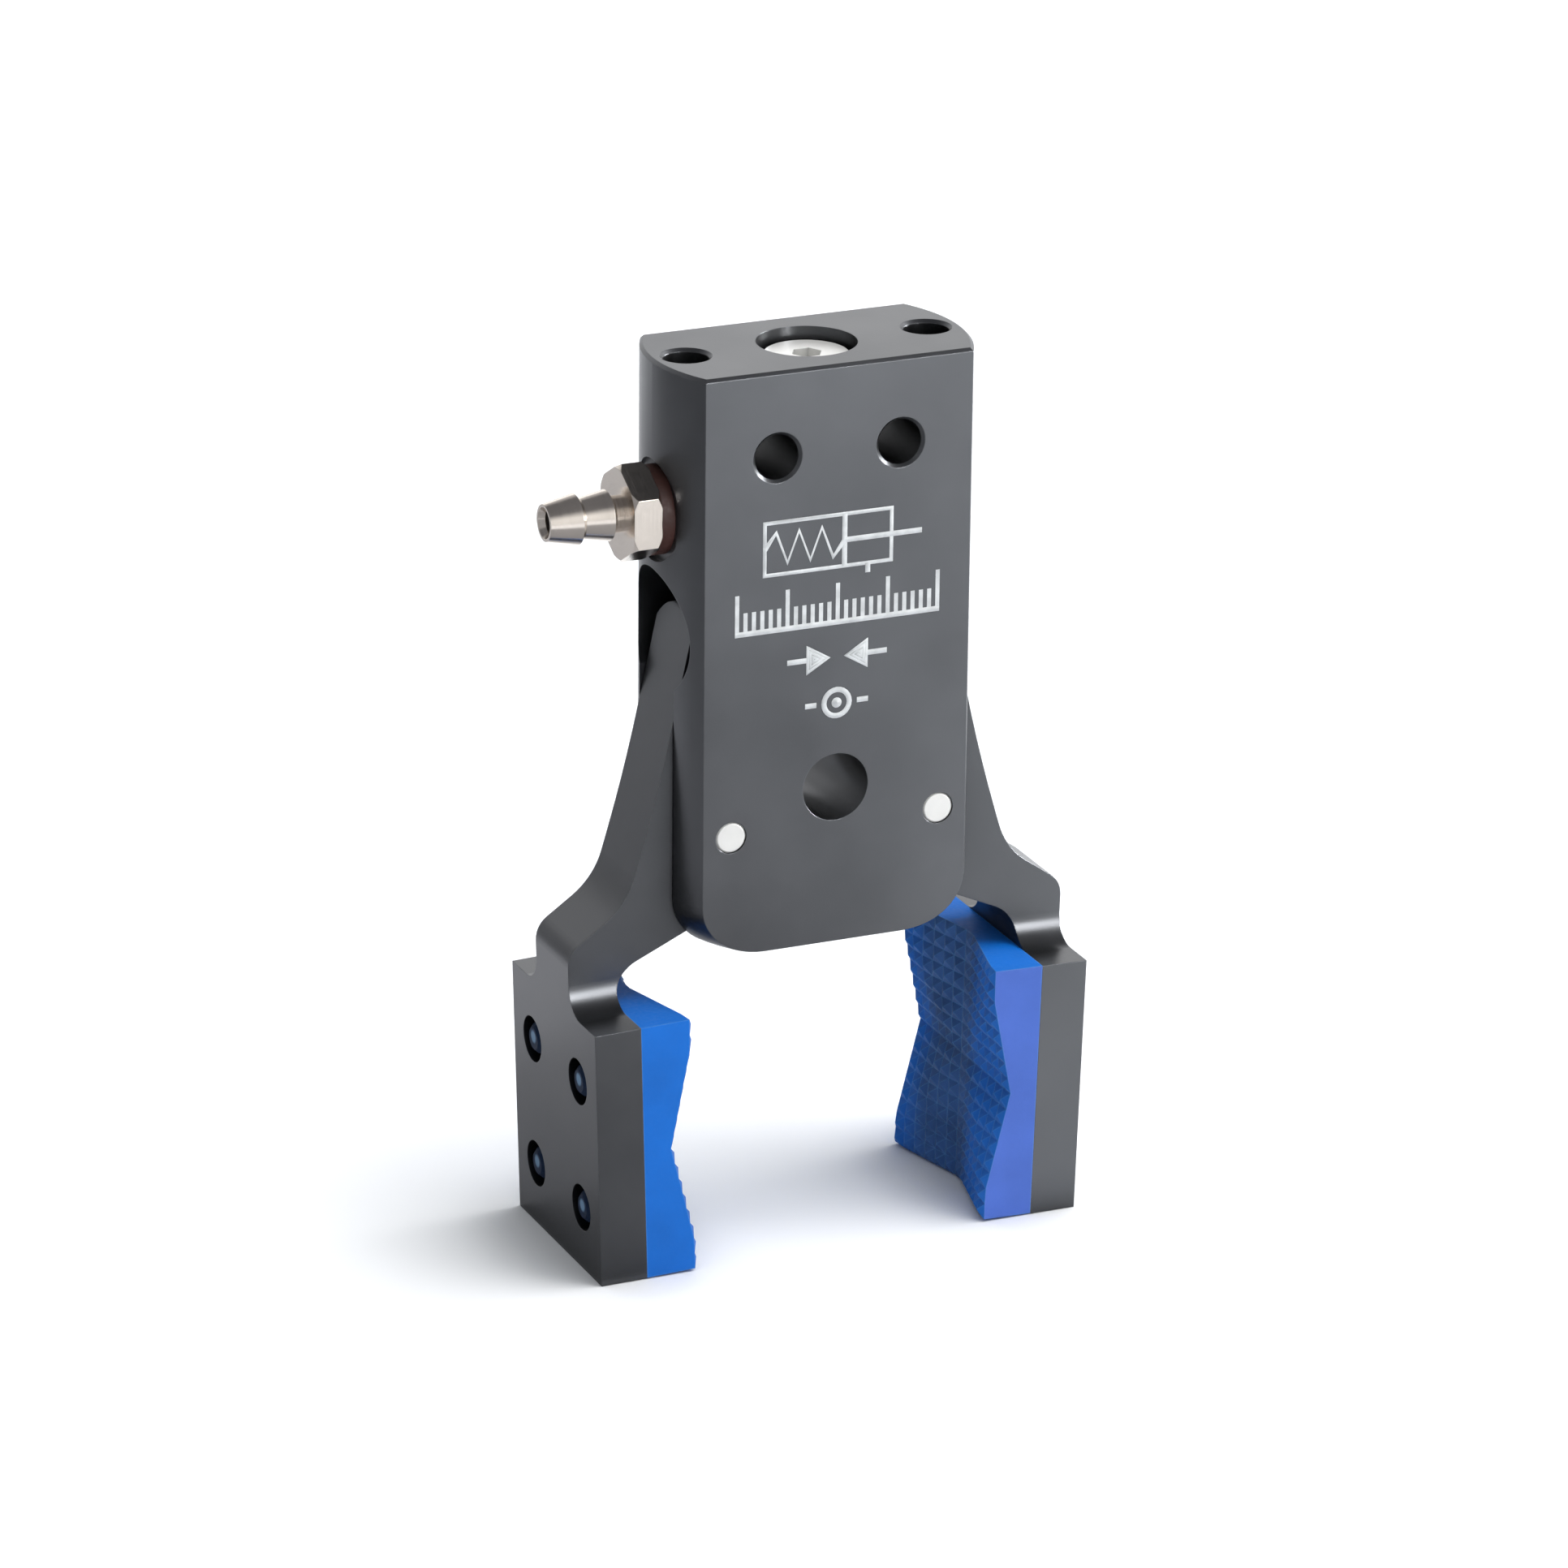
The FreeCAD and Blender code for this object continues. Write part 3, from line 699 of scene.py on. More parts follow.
def geometry_tree(name, inputs):
    """An empty geometry tree with its inputs, and its two end nodes."""
    tree = bpy.data.node_groups.new(name, "GeometryNodeTree")
    tree.interface.new_socket("Geometry", in_out="INPUT", socket_type="NodeSocketGeometry")
    for socket, kind, value in inputs:
        made = tree.interface.new_socket(socket, in_out="INPUT", socket_type=kind)
        if value is not None:
            made.default_value = value
    tree.interface.new_socket("Geometry", in_out="OUTPUT", socket_type="NodeSocketGeometry")
    return tree, add_node(tree, "NodeGroupInput"), add_node(tree, "NodeGroupOutput")


def finish_geometry(tree, given, result, geometry):
    """Ends a geometry tree: copies made real, and the material set."""
    real = add_node(tree, "GeometryNodeRealizeInstances", {"Geometry": geometry})
    painted = add_node(
        tree,
        "GeometryNodeSetMaterial",
        {"Geometry": real.outputs["Geometry"], "Material": given.outputs["Material"]},
    )
    feed(tree, result.inputs["Geometry"], painted.outputs["Geometry"])


def made_by(tree, name, source_data, values):
    """A plain mesh object that a geometry tree makes from source_data with its input values."""
    source = bpy.data.objects.new(name + "_source", source_data)
    bpy.context.scene.collection.objects.link(source)
    modifier = source.modifiers.new("shape", "NODES")
    modifier.node_group = tree
    sockets = {
        item.name: item.identifier
        for item in tree.interface.items_tree
        if item.item_type == "SOCKET" and item.in_out == "INPUT"
    }
    for socket, value in values.items():
        modifier[sockets[socket]] = value
    bpy.context.view_layer.update()
    evaluated = source.evaluated_get(bpy.context.evaluated_depsgraph_get())
    mesh = bpy.data.meshes.new_from_object(evaluated)
    source.modifiers.remove(modifier)
    bpy.data.objects.remove(source)
    mesh.name = name
    piece = bpy.data.objects.new(name, mesh)
    bpy.context.scene.collection.objects.link(piece)
    return piece


def swept_mesh(tree, path, section):
    """A mesh with closed ends, made by a section that follows a path."""
    sockets = {"Curve": path, "Profile Curve": section, "Fill Caps": True}
    return add_node(tree, "GeometryNodeCurveToMesh", sockets).outputs["Mesh"]


def spring_tree():
    """A coil with a round wire whose end turns lie closer together."""
    tree, given, result = geometry_tree(
        "return spring",
        [
            ("Turns", "NodeSocketFloat", 5.0),
            ("Coil Radius", "NodeSocketFloat", 0.001),
            ("Wire Radius", "NodeSocketFloat", 0.0002),
            ("Length", "NodeSocketFloat", 0.005),
            ("Start", "NodeSocketVector", (0.0, 0.0, 0.0)),
            ("Turn", "NodeSocketRotation", None),
            ("Material", "NodeSocketMaterial", None),
        ],
    )
    spiral = add_node(
        tree,
        "GeometryNodeCurveSpiral",
        {
            "Resolution": 28,
            "Rotations": given.outputs["Turns"],
            "Start Radius": given.outputs["Coil Radius"],
            "End Radius": given.outputs["Coil Radius"],
            "Height": 1.0,
        },
    )
    parts = coordinates(tree, add_node(tree, "GeometryNodeInputPosition").outputs["Position"])
    eased = add_node(
        tree,
        "ShaderNodeMapRange",
        {"Value": parts["Z"], "To Max": given.outputs["Length"]},
        interpolation_type="SMOOTHSTEP",
    )
    place = {"X": parts["X"], "Y": parts["Y"], "Z": eased.outputs["Result"]}
    joined = add_node(tree, "ShaderNodeCombineXYZ", place)
    moved = add_node(
        tree,
        "GeometryNodeSetPosition",
        {"Geometry": spiral.outputs["Curve"], "Position": joined.outputs["Vector"]},
    )
    wire = {"Resolution": 10, "Radius": given.outputs["Wire Radius"]}
    section = add_node(tree, "GeometryNodeCurvePrimitiveCircle", wire)
    laid = add_node(
        tree,
        "GeometryNodeTransform",
        {
            "Geometry": swept_mesh(tree, moved.outputs["Geometry"], section.outputs["Curve"]),
            "Translation": given.outputs["Start"],
            "Rotation": given.outputs["Turn"],
        },
    )
    finish_geometry(tree, given, result, laid.outputs["Geometry"])
    return tree


def marked_line_tree():
    """Flat marked lines along the source's curves."""
    tree, given, result = geometry_tree(
        "marked lines",
        [
            ("Width", "NodeSocketFloat", 0.0004),
            ("Thickness", "NodeSocketFloat", 0.00002),
            ("Material", "NodeSocketMaterial", None),
        ],
    )
    section = add_node(
        tree,
        "GeometryNodeCurvePrimitiveQuadrilateral",
        {"Width": given.outputs["Thickness"], "Height": given.outputs["Width"]},
    )
    upright = add_node(
        tree,
        "GeometryNodeSetCurveNormal",
        {"Curve": given.outputs["Geometry"], "Normal": (0.0, -1.0, 0.0)},
        mode="FREE",
    )
    swept = swept_mesh(tree, upright.outputs["Curve"], section.outputs["Curve"])
    finish_geometry(tree, given, result, swept)
    return tree


def tick_scale_tree():
    """A row of flat tick marks in which some are longer, evenly spaced."""
    tree, given, result = geometry_tree(
        "tick scale",
        [
            ("Count", "NodeSocketInt", 25),
            ("Pitch", "NodeSocketFloat", 0.001),
            ("Width", "NodeSocketFloat", 0.0003),
            ("Thickness", "NodeSocketFloat", 0.00002),
            ("Short Tick", "NodeSocketFloat", 0.002),
            ("Long Tick", "NodeSocketFloat", 0.003),
            ("Long Every", "NodeSocketInt", 6),
            ("Start", "NodeSocketVector", (0.0, 0.0, 0.0)),
            ("Material", "NodeSocketMaterial", None),
        ],
    )
    step = add_node(tree, "ShaderNodeCombineXYZ", {"X": given.outputs["Pitch"]})
    row = add_node(
        tree,
        "GeometryNodeMeshLine",
        {
            "Count": given.outputs["Count"],
            "Start Location": given.outputs["Start"],
            "Offset": step.outputs["Vector"],
        },
        mode="OFFSET",
    )
    sides = {"X": given.outputs["Width"], "Y": given.outputs["Thickness"], "Z": 1.0}
    size = add_node(tree, "ShaderNodeCombineXYZ", sides)
    tick = add_node(tree, "GeometryNodeMeshCube", {"Size": size.outputs["Vector"]})
    raised = add_node(
        tree,
        "GeometryNodeTransform",
        {"Geometry": tick.outputs["Mesh"], "Translation": (0.0, 0.0, 0.5)},
    )
    index = add_node(tree, "GeometryNodeInputIndex")
    rest = math_node(tree, "MODULO", index.outputs["Index"], given.outputs["Long Every"])
    is_short = math_node(tree, "GREATER_THAN", rest, 0.5)
    height = add_node(tree, "ShaderNodeMix", data_type="FLOAT")
    floats = [s for s in height.inputs if s.type == "VALUE"]
    lengths = (is_short, given.outputs["Long Tick"], given.outputs["Short Tick"])
    for socket, value in zip(floats, lengths):
        feed(tree, socket, value)
    stretch = {"X": 1.0, "Y": 1.0, "Z": height.outputs[0]}
    scale = add_node(tree, "ShaderNodeCombineXYZ", stretch)
    copies = add_node(
        tree,
        "GeometryNodeInstanceOnPoints",
        {
            "Points": row.outputs["Mesh"],
            "Instance": raised.outputs["Geometry"],
            "Scale": scale.outputs["Vector"],
        },
    )
    finish_geometry(tree, given, result, copies.outputs["Instances"])
    return tree


def line_curves(name, lines):
    """Curve data of straight lines, each a list of points and whether it closes."""
    curves = bpy.data.curves.new(name, "CURVE")
    curves.dimensions = "3D"
    for points, closed in lines:
        spline = curves.splines.new("POLY")
        spline.points.add(len(points) - 1)
        spline.use_cyclic_u = closed
        for point, place in zip(spline.points, points):
            point.co = (*place, 1.0)
    return curves


class GRIPPER_OT_housing(bpy.types.Operator):
    """Gives the housing its dark anodised finish"""

    bl_idname = "gripper.housing"
    bl_label = "Finish the housing"

    def execute(self, context):
        settings = context.scene.gripper_finishes
        dress("housing", anodised_finish("anodised housing", settings, 1.0))
        return {"FINISHED"}


class GRIPPER_OT_fingers(bpy.types.Operator):
    """Gives both fingers their dark anodised finish"""

    bl_idname = "gripper.fingers"
    bl_label = "Finish the fingers"

    def execute(self, context):
        material = anodised_finish("anodised fingers", context.scene.gripper_finishes, 0.9)
        for side in ("left", "right"):
            dress("finger_" + side, material)
        return {"FINISHED"}


class GRIPPER_OT_grip_pads(bpy.types.Operator):
    """Gives both toothed grip pads their blue rubber"""

    bl_idname = "gripper.grip_pads"
    bl_label = "Finish the grip pads"

    def execute(self, context):
        settings = context.scene.gripper_finishes
        base = settings.rubber
        face_shade_colour = settings.shaded_gripping_rubber
        for side, front in (("left", base), ("right", settings.sheen_painted_rubber)):
            node = "grip_pad_" + side
            dress(node, rubber_finish("blue rubber " + side, base, front, face_shade_colour, node))
        return {"FINISHED"}


class GRIPPER_OT_plug_and_pins(bpy.types.Operator):
    """Gives the top plug, its seal and the pivot pins their finishes"""

    bl_idname = "gripper.plug_and_pins"
    bl_label = "Finish the plug and pins"

    def execute(self, context):
        bright = context.scene.gripper_finishes.bright_steel
        up = (0.0, 0.0, 1.0)
        # The plug's socket gets painted shade
        plug = turned_finish(
            "plated plug",
            shade(bright, 0.93),
            0.34,
            (0.0, 0.0, 0.0),
            up,
            metallic=0.5,
            painted_shade_share=0.8,
        )
        dress("top_port_plug", plug)
        dress("top_plug_seal", seal_finish("black seal", (0.02, 0.02, 0.02), 0.5))
        for side in ("left", "right"):
            node = "pivot_pin_" + side
            pin = turned_finish(
                "pin steel " + side,
                shade(bright, 0.84),
                0.42,
                middle(node),
                (0.0, 1.0, 0.0),
                metallic=0.4,
            )
            dress(node, pin)
        return {"FINISHED"}


class GRIPPER_OT_hose_fitting(bpy.types.Operator):
    """Gives the hose barb its nickel and its washer red-brown fibre"""

    bl_idname = "gripper.hose_fitting"
    bl_label = "Finish the hose fitting"

    def execute(self, context):
        nickel = context.scene.gripper_finishes.nickel
        axis = (1.0, 0.0, 0.0)
        fitting = turned_finish("warm nickel", nickel, 0.2, middle("hose_barb"), axis)
        dress("hose_barb", fitting)
        dress("port_washer", seal_finish("red-brown fibre", (0.06, 0.021, 0.016), 0.6))
        return {"FINISHED"}


class GRIPPER_OT_drive(bpy.types.Operator):
    """Gives the pistons, their seals and buttons, and the finger bushes their finishes"""

    bl_idname = "gripper.drive"
    bl_label = "Finish the drive"

    def execute(self, context):
        axis = (1.0, 0.0, 0.0)
        piston_place = middle("piston_right")
        aluminium = turned_finish("bare aluminium", (0.72, 0.73, 0.74), 0.3, piston_place, axis)
        steel = turned_finish("hardened steel", (0.5, 0.5, 0.5), 0.18, piston_place, axis)
        rubber = seal_finish("black piston seal", (0.02, 0.02, 0.02), 0.45)
        for side in ("left", "right"):
            dress("piston_" + side, aluminium)
            dress("thrust_button_" + side, steel)
            dress("piston_seal_" + side, rubber)
            node = "finger_bush_" + side
            bronze = turned_finish(
                "bronze " + side, (0.55, 0.36, 0.17), 0.4, middle(node), (0.0, 1.0, 0.0)
            )
            dress(node, bronze)
        return {"FINISHED"}


class GRIPPER_OT_return_springs(bpy.types.Operator):
    """Winds both return springs in place of the plain coils"""

    bl_idname = "gripper.return_springs"
    bl_label = "Wind the return springs"

    def execute(self, context):
        sizes = context.scene.gripper_spring
        wire = turned_finish(
            "spring wire", (0.55, 0.55, 0.54), 0.28, (0.0, 0.0, 0.0), (1.0, 0.0, 0.0), reach=0.0
        )
        tree = spring_tree()
        for side, sense in (("left", -1), ("right", 1)):
            node = "return_spring_" + side
            centre = middle(node)
            low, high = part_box(node)
            inner, outer = (low.x, high.x) if sense > 0 else (high.x, low.x)
            length = high.x - low.x - 2 * sizes.wire_radius
            start = Vector((inner + sense * sizes.wire_radius, centre.y, centre.z))
            spring = made_by(
                tree,
                "wound_spring_" + side,
                bpy.data.meshes.new("empty"),
                {
                    "Turns": sizes.turns,
                    "Coil Radius": sizes.coil_radius,
                    "Wire Radius": sizes.wire_radius,
                    "Length": length,
                    "Start": start,
                    "Turn": (0.0, sense * math.pi / 2, 0.0),
                    "Material": wire,
                },
            )
            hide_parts(node)
            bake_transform(spring)
        return {"FINISHED"}


class GRIPPER_OT_front_marks(bpy.types.Operator):
    """Marks the front flat: a cylinder symbol, a tick scale, closing arrows and a bore symbol"""

    bl_idname = "gripper.front_marks"
    bl_label = "Mark the front"

    def execute(self, context):
        sizes = context.scene.gripper_marks
        material = mark_finish(context.scene.gripper_finishes)
        face_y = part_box("housing")[0].y
        lines = cylinder_symbol(sizes, face_y) + scale_base(sizes, face_y)
        lines += closing_arrows(face_y) + bore_symbol(face_y)
        for i, (points, closed) in enumerate(lines):
            for point in points:
                point.y -= (i + 1) * LINE_STEP * MM
        symbols = made_by(
            marked_line_tree(),
            "front_symbols",
            line_curves("symbol lines", lines),
            {"Width": sizes.line_width, "Thickness": 2 * sizes.thickness, "Material": material},
        )
        scale = made_by(
            tick_scale_tree(),
            "front_scale",
            bpy.data.meshes.new("empty"),
            {
                "Count": sizes.tick_count,
                "Pitch": sizes.tick_pitch,
                "Width": TICK_WIDTH * MM,
                "Thickness": 2 * sizes.thickness,
                "Short Tick": SHORT_TICK * MM,
                "Long Tick": LONG_TICK * MM,
                "Long Every": LONG_EVERY,
                "Start": Vector((-scale_span(sizes) / 2, face_y, SCALE_Z * MM)),
                "Material": material,
            },
        )
        for piece in (symbols, scale):
            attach(piece, "housing")
        return {"FINISHED"}


def on_front(face_y, *points):
    """Points of the front flat, from pairs of x and z in millimetres."""
    return [Vector((x * MM, face_y, z * MM)) for x, z in points]


def cylinder_symbol(sizes, face_y):
    """A spring-return cylinder: barrel, piston and rod, spring behind the piston, and inlet."""
    middle_z = -16.5
    half = sizes.symbol_height / MM / 2
    back_x = -7.2
    front_x = 5.2
    piston_x = 0.6
    inlet_x = 2.9
    rod_end_x = 8.2
    inlet_length = 0.9
    half_waves = 7
    wave_share = 0.6
    barrel = on_front(
        face_y,
        (back_x, middle_z - half),
        (front_x, middle_z - half),
        (front_x, middle_z + half),
        (back_x, middle_z + half),
    )
    piston = on_front(face_y, (piston_x, middle_z - half), (piston_x, middle_z + half))
    rod = on_front(face_y, (piston_x, middle_z), (rod_end_x, middle_z))
    zigzag = []
    for i in range(half_waves + 1):
        rise = 0.0 if i in (0, half_waves) else (1 if i % 2 else -1) * half * wave_share
        zigzag.append((back_x + (piston_x - back_x) * i / half_waves, middle_z + rise))
    bottom_z = middle_z - half
    inlet = on_front(face_y, (inlet_x, bottom_z), (inlet_x, bottom_z - inlet_length))
    return [
        (barrel, True),
        (piston, False),
        (rod, False),
        (on_front(face_y, *zigzag), False),
        (inlet, False),
    ]


def scale_span(sizes):
    """The distance between the first and the last tick of the scale."""
    return sizes.tick_pitch * (sizes.tick_count - 1)


def scale_base(sizes, face_y):
    """The line that the ticks of the scale stand on."""
    half = scale_span(sizes) / MM / 2 + TICK_WIDTH / 2
    return [(on_front(face_y, (-half, SCALE_Z), (half, SCALE_Z)), False)]


def closing_arrows(face_y):
    """Two arrows that point at each other, for the fingers' closing motion."""
    middle_z = -27.5
    half = 1.2
    tip_x = 0.9
    base_x = 2.9
    tail_x = 4.9
    nested_heads = (1.0, 0.62, 0.22)
    lines = []
    for sense in (-1, 1):
        tip = sense * tip_x
        base = sense * base_x
        lines.append((on_front(face_y, (sense * tail_x, middle_z), (base, middle_z)), False))
        centre = base + (tip - base) / 3
        for share in nested_heads:
            corners = (
                (centre + (base - centre) * share, middle_z - half * share),
                (centre + (tip - centre) * share, middle_z),
                (centre + (base - centre) * share, middle_z + half * share),
            )
            lines.append((on_front(face_y, *corners), True))
    return lines


def bore_symbol(face_y):
    """A ring round a dot, between two short bars, for the bore across the housing."""
    middle_z = -31.9
    ring_radius = 1.25
    dot_radius = 0.24
    ring_points = 24
    bar_start = 2.0
    bar_end = 3.1
    lines = []
    for radius in (ring_radius, dot_radius):
        ring = []
        for i in range(ring_points):
            angle = 2 * math.pi * i / ring_points
            ring.append((radius * math.cos(angle), middle_z + radius * math.sin(angle)))
        lines.append((on_front(face_y, *ring), True))
    for sense in (-1, 1):
        bar = on_front(face_y, (sense * bar_start, middle_z), (sense * bar_end, middle_z))
        lines.append((bar, False))
    return lines


class GRIPPER_OT_stage(bpy.types.Operator):
    """Sets up the pale floor, the soft light and the camera"""

    bl_idname = "gripper.stage"
    bl_label = "Build the stage"

    def execute(self, context):
        settings = context.scene.gripper_stage
        make_floor(settings)
        make_world(context.scene)
        make_lights()
        make_cards()
        make_camera(context.scene, settings)
        context.scene.view_settings.view_transform = "Standard"
        return {"FINISHED"}


def seen_directly(tree):
    """1 for camera, glossy and transmission rays, and 0 for the light's own rays."""
    path = add_node(tree, "ShaderNodeLightPath")
    gloss = math_node(
        tree, "MAXIMUM", path.outputs["Is Glossy Ray"], path.outputs["Is Transmission Ray"]
    )
    return math_node(tree, "MAXIMUM", path.outputs["Is Camera Ray"], gloss)


def flat_piece(name, corners):
    """One flat face, from its corners in millimetres over the floor."""
    floor_z = SOLID_BOX[0].z
    mesh = bpy.data.meshes.new(name)
    places = [(x * MM, y * MM, floor_z + z * MM) for x, y, z in corners]
    mesh.from_pydata(places, [], [tuple(range(len(corners)))])
    piece = bpy.data.objects.new(name, mesh)
    bpy.context.scene.collection.objects.link(piece)
    return piece


def make_floor(settings):
    """A large pale floor under the jaw plates, with painted shadow where the gripper stands close
    over it.
    """
    half = 2500
    corners = [(-half, -half, 0), (half, -half, 0), (half, half, 0), (-half, half, 0)]
    floor = flat_piece("floor", corners)
    material = bpy.data.materials.new("pale floor")
    material.use_nodes = True
    tree = material.node_tree
    tree.nodes.clear()
    matt = add_node(tree, "ShaderNodeBsdfDiffuse")
    # Painted shadow: the floor's colour darkens where the gripper stands close over it
    cavity = placed_group(tree, shared_group("cavity", cavity_group), Reach=0.008)
    painted_shade = ranged(tree, cavity.outputs["Open"], 0.5, 0.95, 0.34, 0.0)
    plain = (*settings.floor, 1.0)
    feed(tree, matt.inputs["Color"], blended(tree, painted_shade, plain, shade(plain, 0.1)))
    share = math_node(tree, "MULTIPLY", seen_directly(tree), settings.floor_lift)
    extra = add_node(tree, "ShaderNodeMixShader", {"Fac": share})
    feed(tree, extra.inputs[2], matt.outputs["BSDF"])
    both = add_node(tree, "ShaderNodeAddShader")
    feed(tree, both.inputs[0], matt.outputs["BSDF"])
    feed(tree, both.inputs[1], extra.outputs["Shader"])
    add_node(tree, "ShaderNodeOutputMaterial", {"Surface": both.outputs["Shader"]})
    floor.data.materials.append(material)


def make_world(scene):
    """Soft light that is stronger from the right, and a white backdrop that darkens overhead."""
    world = bpy.data.worlds.new("studio")
    world.use_nodes = True
    tree = world.node_tree
    tree.nodes.clear()
    bright_side = (0.75, -0.45, 0.48)
    cool_white = (0.95, 0.975, 1.0, 1.0)
    overhead_grey = (0.16, 0.16, 0.17, 1.0)
    direction = add_node(tree, "ShaderNodeTexCoord").outputs["Generated"]
    sideways = vector_node(tree, "DOT_PRODUCT", direction, bright_side).outputs["Value"]
    strength = ranged(tree, sideways, -0.7, 1.0, 0.06, 1.12)
    dome = add_node(tree, "ShaderNodeBackground", {"Color": cool_white, "Strength": strength})
    overhead = ranged(tree, coordinates(tree, direction)["Z"], 0.45, 0.8, 0.0, 1.0)
    colour = blended(tree, overhead, (1.0, 1.0, 1.0, 1.0), overhead_grey)
    backdrop = add_node(tree, "ShaderNodeBackground", {"Color": colour})
    chosen = add_node(tree, "ShaderNodeMixShader", {"Fac": seen_directly(tree)})
    feed(tree, chosen.inputs[1], dome.outputs["Background"])
    feed(tree, chosen.inputs[2], backdrop.outputs["Background"])
    add_node(tree, "ShaderNodeOutputWorld", {"Surface": chosen.outputs["Shader"]})
    scene.world = world


def add_area_light(name, azimuth, elevation, size, energy):
    """A rectangular soft light that points at the gripper, from angles in degrees."""
    turn = math.radians(azimuth)
    rise = math.radians(elevation)
    towards = Vector(
        (math.cos(rise) * math.sin(turn), -math.cos(rise) * math.cos(turn), math.sin(rise))
    )
    lamp = bpy.data.lights.new(name, "AREA")
    lamp.shape = "RECTANGLE"
    lamp.size, lamp.size_y = size
    lamp.energy = energy
    light = bpy.data.objects.new(name, lamp)
    bpy.context.scene.collection.objects.link(light)
    light.location = LIGHT_TARGET + towards * LIGHT_DISTANCE
    light.rotation_mode = "QUATERNION"
    light.rotation_quaternion = (-towards).to_track_quat("-Z", "Y")
    light.visible_camera = False
    return light


def make_lights():
    """A large soft light, high on the right, and three panels that only gloss shows."""
    soft = add_area_light("soft light", 70.0, 64.0, (1.1, 1.1), 18.0)
    soft.data.color = (1.0, 0.985, 0.965)
    soft.visible_glossy = False
    panels = (
        ("front panel", 22.0, 20.0, (0.3, 0.8), 14.0),
        ("back panel", 156.0, 21.0, (1.2, 0.9), 1.3),
        ("right panel", 88.0, 15.0, (0.5, 0.5), 60.0),
    )
    for panel in panels:
        add_area_light(*panel).visible_diffuse = False


def add_card(name, corners, grey):
    """A matt grey card that only gloss shows, a painted dark reflection, from corners in
    millimetres over the floor.
    """
    card = flat_piece(name, corners)
    material = bpy.data.materials.new(name)
    material.use_nodes = True
    shader = material.node_tree.nodes["Principled BSDF"]
    shader.inputs["Base Color"].default_value = (grey, grey, grey * 1.04, 1.0)
    shader.inputs["Roughness"].default_value = 0.9
    card.data.materials.append(material)
    card.visible_camera = False
    card.visible_diffuse = False
    card.visible_shadow = False


def make_cards():
    """Grey cards seen only in reflections: a painted dark reflection beyond the left-hand edge of
    the picture, and painted reflections of shade on the floor round the jaws.
    """
    left = -160
    reach = 300
    top = 240
    wall = [
        (left, -reach, top),
        (left, reach, top),
        (left, reach, CARD_LIFT),
        (left, -reach, CARD_LIFT),
    ]
    add_card("side card", wall, 0.21)
    front_y = -190
    plate_y = -11
    behind_plate_y = 12
    near_y = 45
    middle_y = 100
    far_y = 260
    outlines = (
        (
            "front card",
            0.31,
            [
                (left, front_y),
                (95, front_y),
                (95, -150),
                (50, -115),
                (12, plate_y),
                (left, plate_y),
            ],
        ),
        (
            "near back card",
            0.52,
            [
                (left, plate_y),
                (-24, plate_y),
                (-24, behind_plate_y),
                (0, behind_plate_y),
                (0, near_y),
                (left, near_y),
            ],
        ),
        (
            "middle back card",
            0.85,
            [(left, near_y), (0, near_y), (0, middle_y), (left, middle_y)],
        ),
        ("far back card", 0.5, [(left, middle_y), (0, middle_y), (0, far_y), (left, far_y)]),
    )
    for name, grey, outline in outlines:
        add_card(name, [(x, y, CARD_LIFT) for x, y in outline], grey)


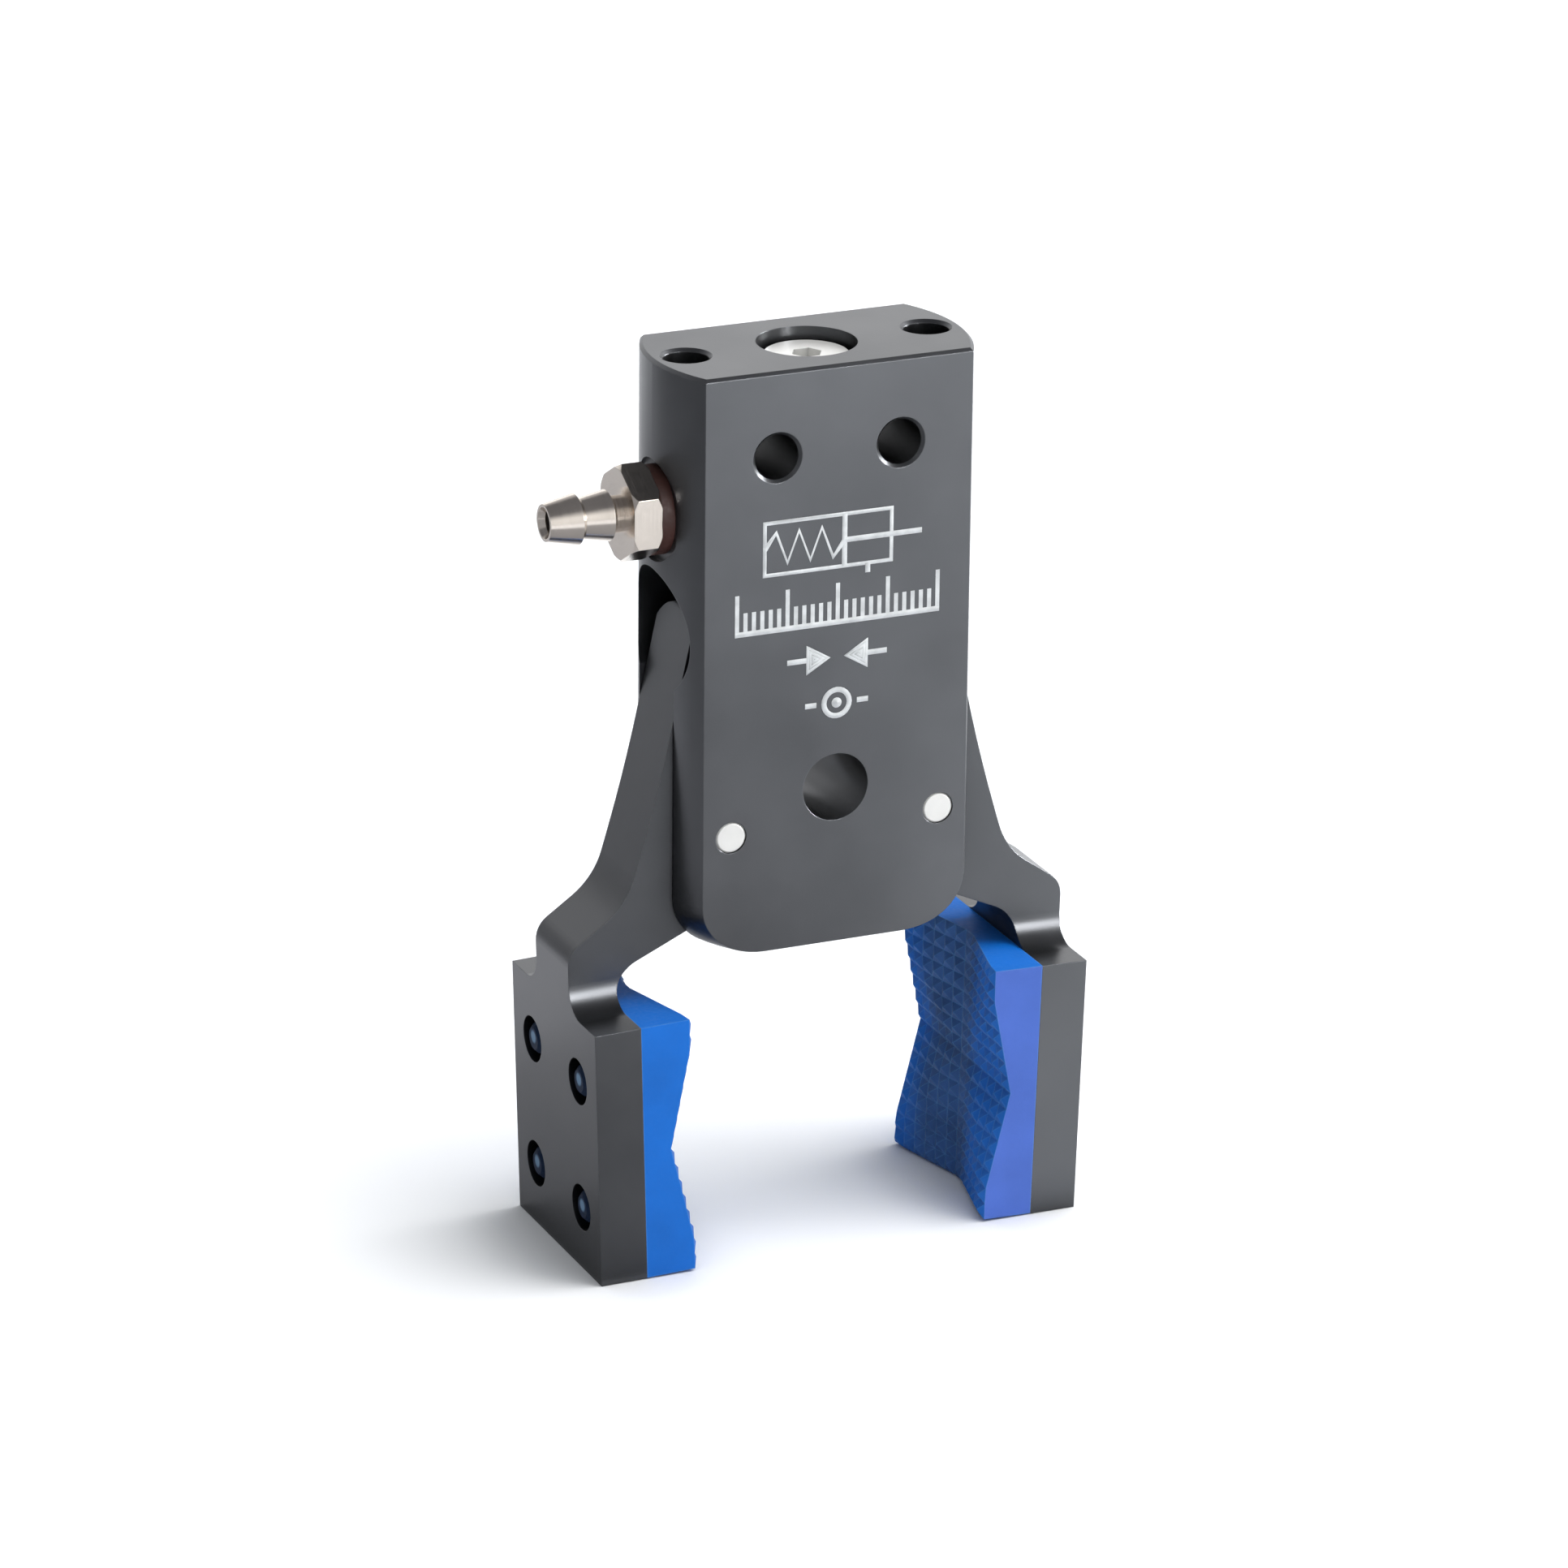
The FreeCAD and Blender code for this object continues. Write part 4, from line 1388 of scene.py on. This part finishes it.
def make_camera(scene, settings):
    """The camera, at the angle and distance that show the gripper at three quarters."""
    azimuth = settings.camera_azimuth
    elevation = settings.camera_elevation
    roll = settings.camera_roll
    ahead = Vector(
        (
            math.sin(azimuth) * math.cos(elevation),
            math.cos(azimuth) * math.cos(elevation),
            -math.sin(elevation),
        )
    )
    level = Vector((math.cos(azimuth), -math.sin(azimuth), 0.0))
    above = level.cross(ahead)
    right = level * math.cos(roll) + above * math.sin(roll)
    up = above * math.cos(roll) - level * math.sin(roll)
    place = Vector(settings.camera_target) - ahead * settings.camera_distance
    lens = bpy.data.cameras.new("camera")
    lens.sensor_width = SENSOR_WIDTH
    lens.lens = settings.camera_lens
    lens.clip_start = 0.01
    lens.clip_end = 20.0
    camera = bpy.data.objects.new("camera", lens)
    scene.collection.objects.link(camera)
    turn = Matrix((right, up, -ahead)).transposed().to_4x4()
    camera.matrix_world = Matrix.Translation(place) @ turn
    scene.camera = camera


class GRIPPER_PT_panel(bpy.types.Panel):
    """The gripper's steps and settings"""

    bl_idname = "GRIPPER_PT_panel"
    bl_label = "Gripper"
    bl_space_type = "VIEW_3D"
    bl_region_type = "UI"
    bl_category = "Gripper"

    def draw(self, context):
        layout = self.layout
        for step in STEPS:
            layout.operator(step.bl_idname)
        for group in (
            context.scene.gripper_finishes,
            context.scene.gripper_marks,
            context.scene.gripper_spring,
            context.scene.gripper_stage,
        ):
            box = layout.box()
            for name in group.bl_rna.properties.keys():
                if name not in ("rna_type", "name"):
                    box.prop(group, name)


STEPS = (
    GRIPPER_OT_housing,
    GRIPPER_OT_fingers,
    GRIPPER_OT_grip_pads,
    GRIPPER_OT_plug_and_pins,
    GRIPPER_OT_hose_fitting,
    GRIPPER_OT_drive,
    GRIPPER_OT_return_springs,
    GRIPPER_OT_front_marks,
    GRIPPER_OT_stage,
)
SETTINGS = {
    "gripper_finishes": GripperFinishes,
    "gripper_marks": GripperMarks,
    "gripper_spring": GripperSpring,
    "gripper_stage": GripperStage,
}


def register():
    for name, group in SETTINGS.items():
        bpy.utils.register_class(group)
        setattr(bpy.types.Scene, name, PointerProperty(type=group))
    for step in STEPS:
        bpy.utils.register_class(step)
    bpy.utils.register_class(GRIPPER_PT_panel)


def unregister():
    bpy.utils.unregister_class(GRIPPER_PT_panel)
    for step in reversed(STEPS):
        bpy.utils.unregister_class(step)
    for name, group in SETTINGS.items():
        delattr(bpy.types.Scene, name)
        bpy.utils.unregister_class(group)


def main():
    register()
    for step in STEPS:
        group, name = step.bl_idname.split(".")
        getattr(getattr(bpy.ops, group), name)()


if __name__ == "__main__":
    main()
